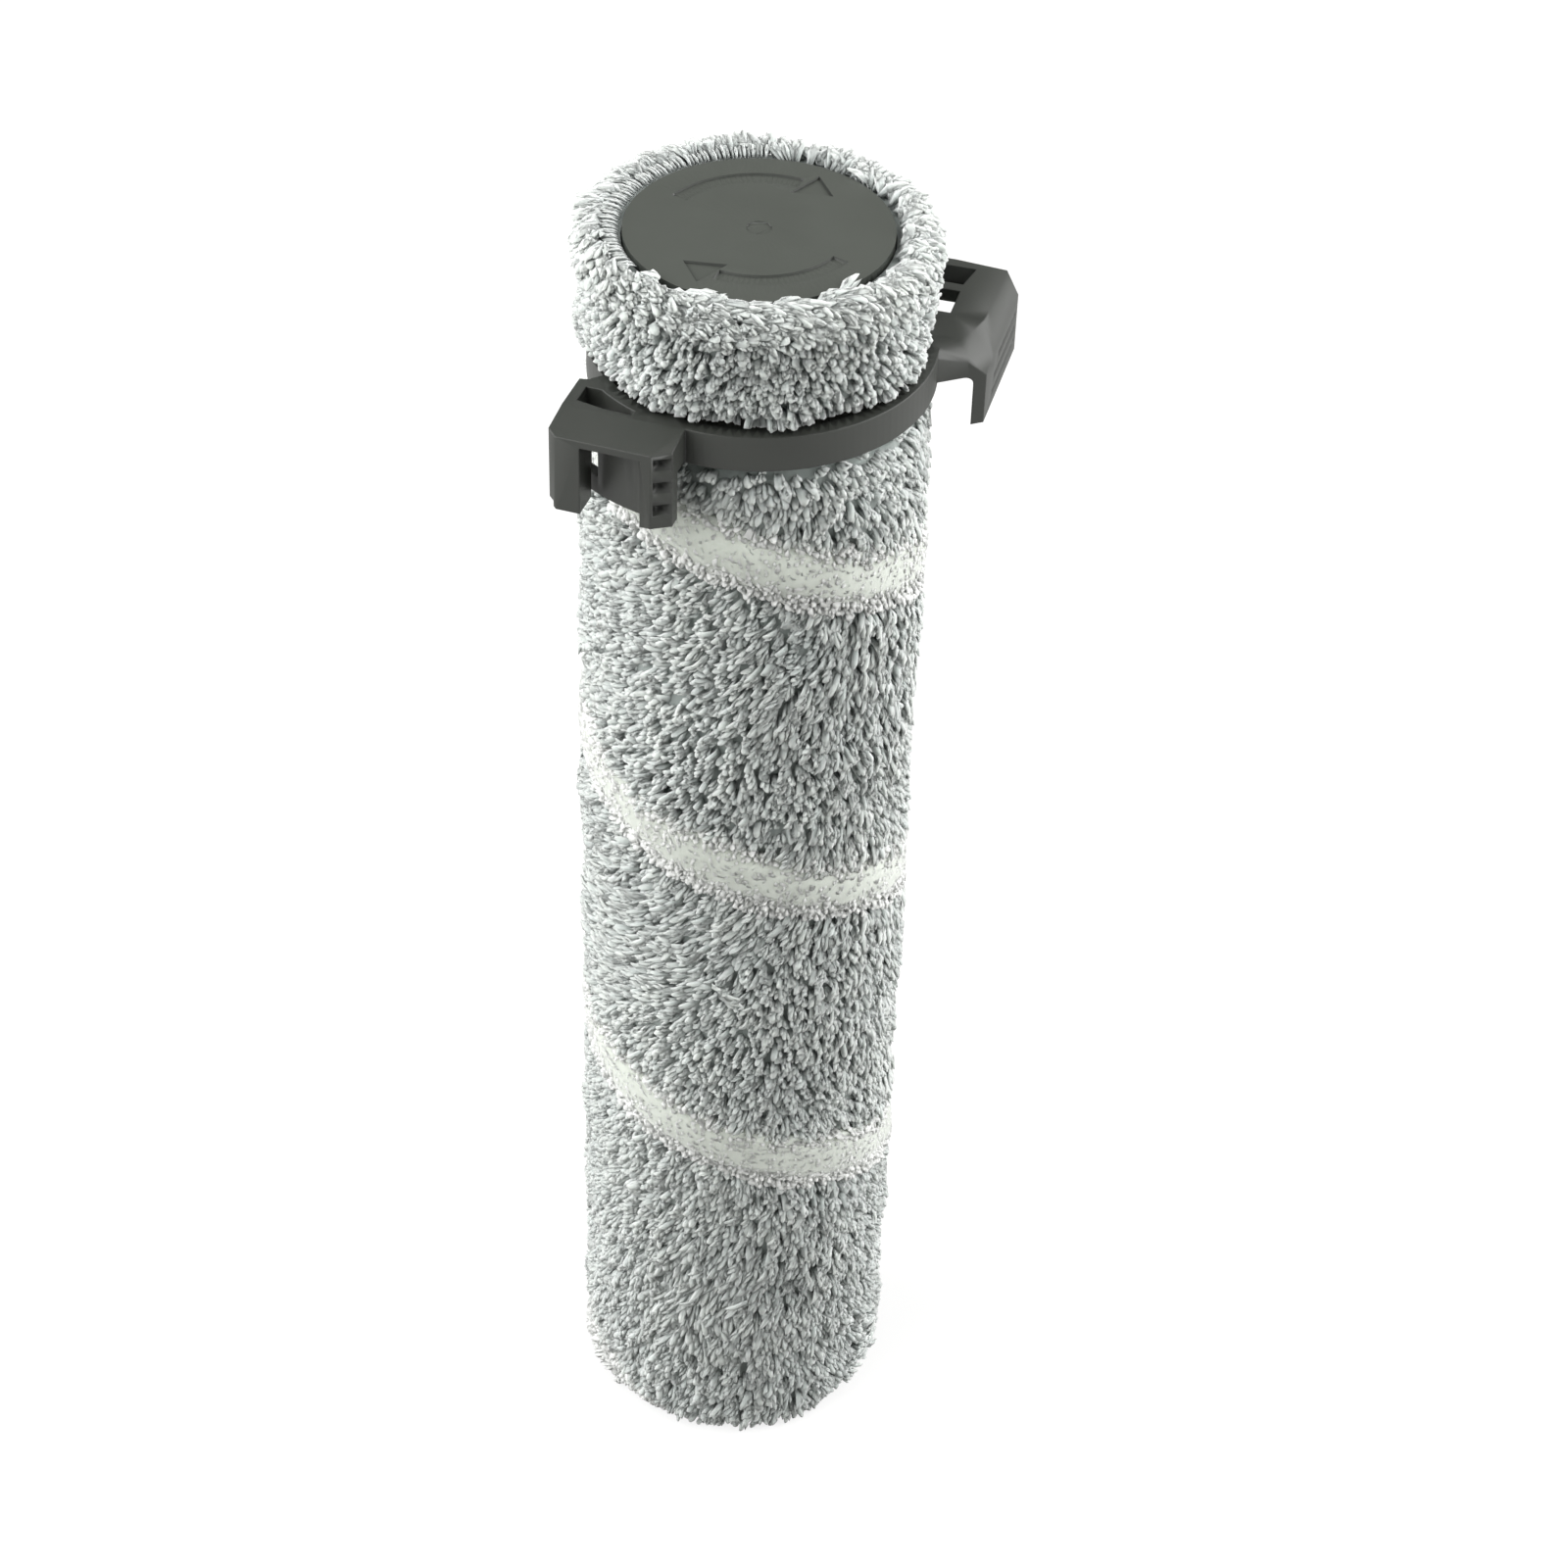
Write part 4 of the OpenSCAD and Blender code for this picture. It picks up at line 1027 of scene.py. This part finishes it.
@dataclass(frozen=True)
class Crown:
    """The pile on the short section's top, between the cap and the rounded rim."""

    height: float
    seed: int = 51
    cap_radius: float = 21.4 * MM
    rim_radius: float = 26.6 * MM
    count: int = 1300
    threads: int = 74

    def locks(self) -> TuftPlan:
        """Plans the long locks that lie over the ring.

        Returns:
            The plan. In front they run along the cap and over its edge, and behind they lie
            outward.
        """
        rng = np.random.default_rng(self.seed)
        azimuth = rng.uniform(-math.pi, math.pi, self.count)
        share = rng.uniform(0, 1, self.count) ** 0.75
        behind = np.cos(azimuth - math.radians(150)) > 0.42
        inner = self.cap_radius + np.where(behind, 1.9 * MM, 0.3 * MM)
        radius = inner + share * (self.rim_radius - inner)
        out = np.stack([np.cos(azimuth), np.sin(azimuth), np.zeros(self.count)], axis=-1)
        around = np.stack([-np.sin(azimuth), np.cos(azimuth), np.zeros(self.count)], axis=-1)
        root = out * radius[:, None]
        root[:, 2] = self.height - (1.7 + 2.8 * share ** 3) * MM
        tilt = 0.1 + 0.95 * share ** 1.5
        normal = out * np.sin(tilt)[:, None]
        normal[:, 2] = np.cos(tilt)
        front = np.clip(np.cos(azimuth - math.radians(-115)), 0, 1) ** 1.5
        loose = 0.3 + 0.4 * np.clip(np.cos(azimuth), 0, 1)
        turn = 0.35 + 1.15 * front + loose * rng.normal(0, 1, self.count)
        down = np.cross(around, normal)
        nap = down * np.cos(turn)[:, None] + around * np.sin(turn)[:, None]
        return TuftPlan(root, normal, nap, rng.uniform(1.2, 2.0, self.count) * MM,
                        rng.uniform(3.6, 6.6, self.count) * (1 - 0.6 * share) * MM,
                        rng.uniform(1.7, 2.7, self.count) * MM,
                        np.clip(rng.normal(0.95, 0.1, self.count), 0.6, 1.1))

    def backing(self) -> TuftPlan:
        """Plans the fine threads of the backing that show at the cap's left edge.

        Returns:
            The plan of one comb of thin radial threads.
        """
        rng = np.random.default_rng(self.seed + 1)
        azimuth = np.radians(np.linspace(88, 212, self.threads)) + rng.normal(0, 0.004, self.threads)
        out = np.stack([np.cos(azimuth), np.sin(azimuth), np.zeros(self.threads)], axis=-1)
        root = out * (self.cap_radius + 0.1 * MM)
        root[:, 2] = self.height - 1.1 * MM
        normal = np.tile([0.0, 0.0, 1.0], (self.threads, 1))
        return TuftPlan(root, normal, out, rng.uniform(0.5, 0.9, self.threads) * MM,
                        rng.uniform(2.4, 3.4, self.threads) * MM,
                        np.full(self.threads, 0.6 * MM), np.full(self.threads, 0.95))

    def plan(self) -> TuftPlan:
        """Plans everything on the ring."""
        return self.locks().joined(self.backing())


FINISH_CACHE: dict[Slot, bpy.types.Material] = {}

# The lie of the long pile as seen from the front, a lower tone towards its bottom, and two hollows in it
# whose darkness is painted shade in their tone
LONG_NAP = (
    NapMark(-150, 190, 200), NapMark(-118, 184, 192, 1.1), NapMark(-98, 190, 187, 1.1),
    NapMark(-80, 178, 200, 1.2), NapMark(-60, 197, 240, 0.8), NapMark(-45, 170, 265, 1.1),
    NapMark(-140, 150, 200, 0.8), NapMark(-110, 150, 210, 0.9), NapMark(-85, 150, 215, 0.9),
    NapMark(-50, 140, 258, 1.2), NapMark(-135, 115, 180, 1.2), NapMark(-110, 118, 185, 1.3),
    NapMark(-85, 118, 182, 1.4), NapMark(-60, 115, 250, 1.1), NapMark(-110, 85, 220, 0.7),
    NapMark(-80, 85, 230, 0.7), NapMark(-45, 90, 255, 1.2), NapMark(-140, 60, 220, 0.7),
    NapMark(-112, 36, 245, 1.7, 1.0, 0.95), NapMark(-98, 33, 280, 1.8, 1.0, 0.95),
    NapMark(-75, 50, 250, 0.8, 1.0, 0.85), NapMark(-50, 40, 250, 1.2, 1.0, 0.9),
    NapMark(-80, 12, 255, 1.2, 1.0, 0.8), NapMark(-110, 10, 255, 1.0, 1.0, 0.8),
    NapMark(-130, 12, 235),
    NapMark(-67.3, 184.9, 180, 0.5, 0.7, 0.25, 2.6, 8.0),
    NapMark(-69, 39.5, 255, 0.5, 0.7, 0.2, 2.4, 8.0),
)
# Locks that stand out of the pile: a flat one in the middle, others beside the hollows
LONG_STRAYS = (
    StrayTuft(-101, 112.8, 2, 5.6, 3.9, 2.6, 1.1), StrayTuft(-100, 111.6, -3, 5.4, 3.8, 2.2, 1.1),
    StrayTuft(-102, 114.0, 20, 3.0, 4.3, 1.8, 1.1), StrayTuft(-63.5, 190.2, 250, 3.4, 4.4, 1.9, 1.1),
    StrayTuft(-61, 188.6, 275, 3.2, 4.4, 1.7, 1.1), StrayTuft(-56, 40.5, 268, 3.4, 4.6, 1.6, 1.1),
    StrayTuft(-60, 41.5, 250, 3.0, 4.6, 1.5, 1.1), StrayTuft(-108, 35, 262, 5.6, 4.2, 2.3, 1.05),
    StrayTuft(-103, 33, 285, 5.8, 4.1, 2.2, 1.05), StrayTuft(-97, 31, 300, 5.2, 4.0, 2.1, 1.05),
    StrayTuft(-112, 31, 240, 5.4, 4.0, 2.2, 1.05), StrayTuft(-105, 27, 268, 5.6, 4.0, 2.0, 1.05),
)
WHITE_STRAYS = (
    StrayTuft(-150, 5.5, 215, 3.4, 4.4, 2.4), StrayTuft(-144, 5.0, 205, 3.6, 4.2, 2.2),
    StrayTuft(-153, 7.5, 200, 3.2, 4.2, 2.2), StrayTuft(-140, 3.8, 225, 3.0, 3.8, 2.0),
)


@dataclass
class MouldedPart:
    """A plastic node of the frame, shown as a copy with joined facets and smooth curves."""

    node: str
    body: Body
    slot: Slot
    sharp_angle: float = math.radians(28)

    def build(self) -> None:
        """Copies the node's mesh, joins its facets and smooths its curved faces."""
        source = FRAME["nodes"][self.node]
        bm = bmesh.new()
        bm.from_mesh(source.data)
        bmesh.ops.transform(bm, matrix=source.matrix_world, verts=bm.verts)
        bmesh.ops.remove_doubles(bm, verts=bm.verts, dist=1e-6)
        mesh = bpy.data.meshes.new(f"{self.node}_moulding")
        bm.to_mesh(mesh)
        bm.free()
        for polygon in mesh.polygons:
            polygon.use_smooth = True
        mesh.set_sharp_from_angle(angle=self.sharp_angle)
        piece = add_piece(f"{self.node}_moulding", mesh, self.body,
                          FINISH_CACHE[self.slot], [self.node])
        weighted = piece.modifiers.new("flat_faces", "WEIGHTED_NORMAL")
        weighted.keep_sharp = True


@dataclass
class Studio:
    """The floor, the light and the camera."""

    camera_place: tuple[float, float, float] = (0.0, -0.48225, 0.53565)
    elevation: float = 0.6913
    roll: float = 0.0245
    lens_mm: float = 83.93
    shift_x: float = 0.0245

    def camera(self) -> None:
        """Sets the camera at the photograph's place."""
        back = Vector((0, -math.cos(self.elevation), math.sin(self.elevation)))
        flat_up = Vector((0, math.sin(self.elevation), math.cos(self.elevation)))
        right = math.cos(self.roll) * Vector((1, 0, 0)) + math.sin(self.roll) * flat_up
        up = math.cos(self.roll) * flat_up - math.sin(self.roll) * Vector((1, 0, 0))
        data = bpy.data.cameras.new("camera")
        data.lens = self.lens_mm
        data.sensor_width = 36
        data.shift_x = self.shift_x
        data.clip_start = 0.01
        camera = bpy.data.objects.new("camera", data)
        turn = Matrix((right, up, back)).transposed().to_4x4()
        camera.matrix_world = Matrix.Translation(self.camera_place) @ turn
        bpy.context.scene.collection.objects.link(camera)
        bpy.context.scene.camera = camera

    def floor(self) -> None:
        """Makes the pale floor, which shows as white but keeps the roller's shadow."""
        bm = bmesh.new()
        bmesh.ops.create_grid(bm, x_segments=1, y_segments=1, size=3.0)
        mesh = bpy.data.meshes.new("floor")
        bm.to_mesh(mesh)
        bm.free()
        floor = bpy.data.objects.new("floor", mesh)
        bpy.context.scene.collection.objects.link(floor)
        material, tree = new_material("floor_paper")
        path = add_node(tree, "ShaderNodeLightPath")
        # Pale to the camera, darker for the light that it throws back at the roller
        paper = ramp(tree, path.outputs["Is Camera Ray"], [(0.0, "#6c6c6a"), (1.0, "#f2f2f0")])
        diffuse = add_node(tree, "ShaderNodeBsdfDiffuse", links={"Color": paper.outputs["Color"]})
        glow = add_node(tree, "ShaderNodeEmission", {"Color": (1, 1, 1, 1), "Strength": 1.0})
        seen = add_node(tree, "ShaderNodeMath", {"operation": "MAXIMUM"})
        tree.links.new(path.outputs["Is Camera Ray"], seen.inputs[0])
        tree.links.new(path.outputs["Is Glossy Ray"], seen.inputs[1])
        share = add_node(tree, "ShaderNodeMath", {"operation": "MULTIPLY"})
        tree.links.new(seen.outputs[0], share.inputs[0])
        share.inputs[1].default_value = 0.8
        mix = add_node(tree, "ShaderNodeMixShader", links={"Fac": share.outputs[0]})
        tree.links.new(diffuse.outputs[0], mix.inputs[1])
        tree.links.new(glow.outputs[0], mix.inputs[2])
        close_material(tree, mix)
        mesh.materials.append(material)

    def world(self) -> None:
        """Sets a plain white world that lights softly."""
        world = bpy.data.worlds.new("studio")
        bpy.context.scene.world = world
        world.use_nodes = True
        tree = world.node_tree
        tree.nodes.clear()
        path = add_node(tree, "ShaderNodeLightPath")
        soft = add_node(tree, "ShaderNodeBackground",
                        {"Color": linear("#f6f8f5"), "Strength": 0.36})
        white = add_node(tree, "ShaderNodeBackground", {"Color": (1, 1, 1, 1), "Strength": 1.0})
        mix = add_node(tree, "ShaderNodeMixShader", links={"Fac": path.outputs["Is Camera Ray"]})
        tree.links.new(soft.outputs[0], mix.inputs[1])
        tree.links.new(white.outputs[0], mix.inputs[2])
        out = add_node(tree, "ShaderNodeOutputWorld")
        tree.links.new(mix.outputs[0], out.inputs["Surface"])

    def lamp(self, name: str, place: tuple[float, float, float], target: tuple[float, float, float],
             size: float, power: float) -> None:
        """Adds one soft square lamp.

        Args:
            name: Its name.
            place: Where it stands.
            target: What it points at.
            size: Its side length.
            power: Its power in watts.
        """
        data = bpy.data.lights.new(name, "AREA")
        data.size = size
        data.energy = power
        lamp = bpy.data.objects.new(name, data)
        lamp.location = place
        aim = Vector(target) - Vector(place)
        lamp.rotation_euler = aim.to_track_quat("-Z", "Y").to_euler()
        bpy.context.scene.collection.objects.link(lamp)

    def build(self) -> None:
        """Builds the studio."""
        self.camera()
        self.floor()
        self.world()
        middle = (0.0, 0.0, 0.13)
        self.lamp("left", (-1.1, -0.2, 0.75), middle, 2.0, 49.0)
        self.lamp("right", (1.1, 0.0, 0.65), middle, 1.8, 39.0)
        self.lamp("top", (0.0, 0.1, 1.2), middle, 0.8, 0.8)
        bpy.context.scene.view_settings.view_transform = "Standard"


FRAME: dict = {}


def main() -> None:
    """Builds the roller's looks around the frame, piece by piece."""
    logging.basicConfig(level=logging.INFO, format="%(name)s: %(message)s")
    FRAME.update(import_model())
    FINISH_CACHE.update({slot: finish.build() for slot, finish in FINISHES.items()})
    for row in FRAME["record"]["subparts"]:
        node = FRAME["nodes"][row["node"]]
        material = FINISH_CACHE[Slot(row["material_slot"])]
        for place in node.material_slots:
            place.material = material
    planter = TuftPlanter()
    long_low, long_high = (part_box("long_pile_sleeve")[k][2] for k in (0, 1))
    short_low, short_high = (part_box("short_pile_sleeve")[k][2] for k in (0, 1))
    PileSection("long_pile", "long_pile_sleeve", long_low, long_high, 0.3 * MM,
                long_high + 0.2 * MM, NapMap(LONG_NAP, 21), Stripe(), planter,
                strays=LONG_STRAYS, white_strays=WHITE_STRAYS).build()
    PileSection("short_pile", "short_pile_sleeve", short_low, short_high - 2.2 * MM,
                short_low - 0.1 * MM, short_high + 1.5 * MM, NapMap((), 31), None,
                TuftPlanter(13, 0.85), round_low=3.0 * MM, round_high=1.5 * MM,
                grey_step=(1.3 * MM, 1.3 * MM), lie=1.0 * MM, tuft_width=2.2 * MM
                ).build(Crown(short_high).plan())
    MouldedPart("bracket", Body.BRACKET, Slot.GREY_PLASTIC).build()
    MouldedPart("end_cap", Body.ROLLER, Slot.CAP_PLASTIC).build()
    Studio().build()


if __name__ == "__main__":
    main()
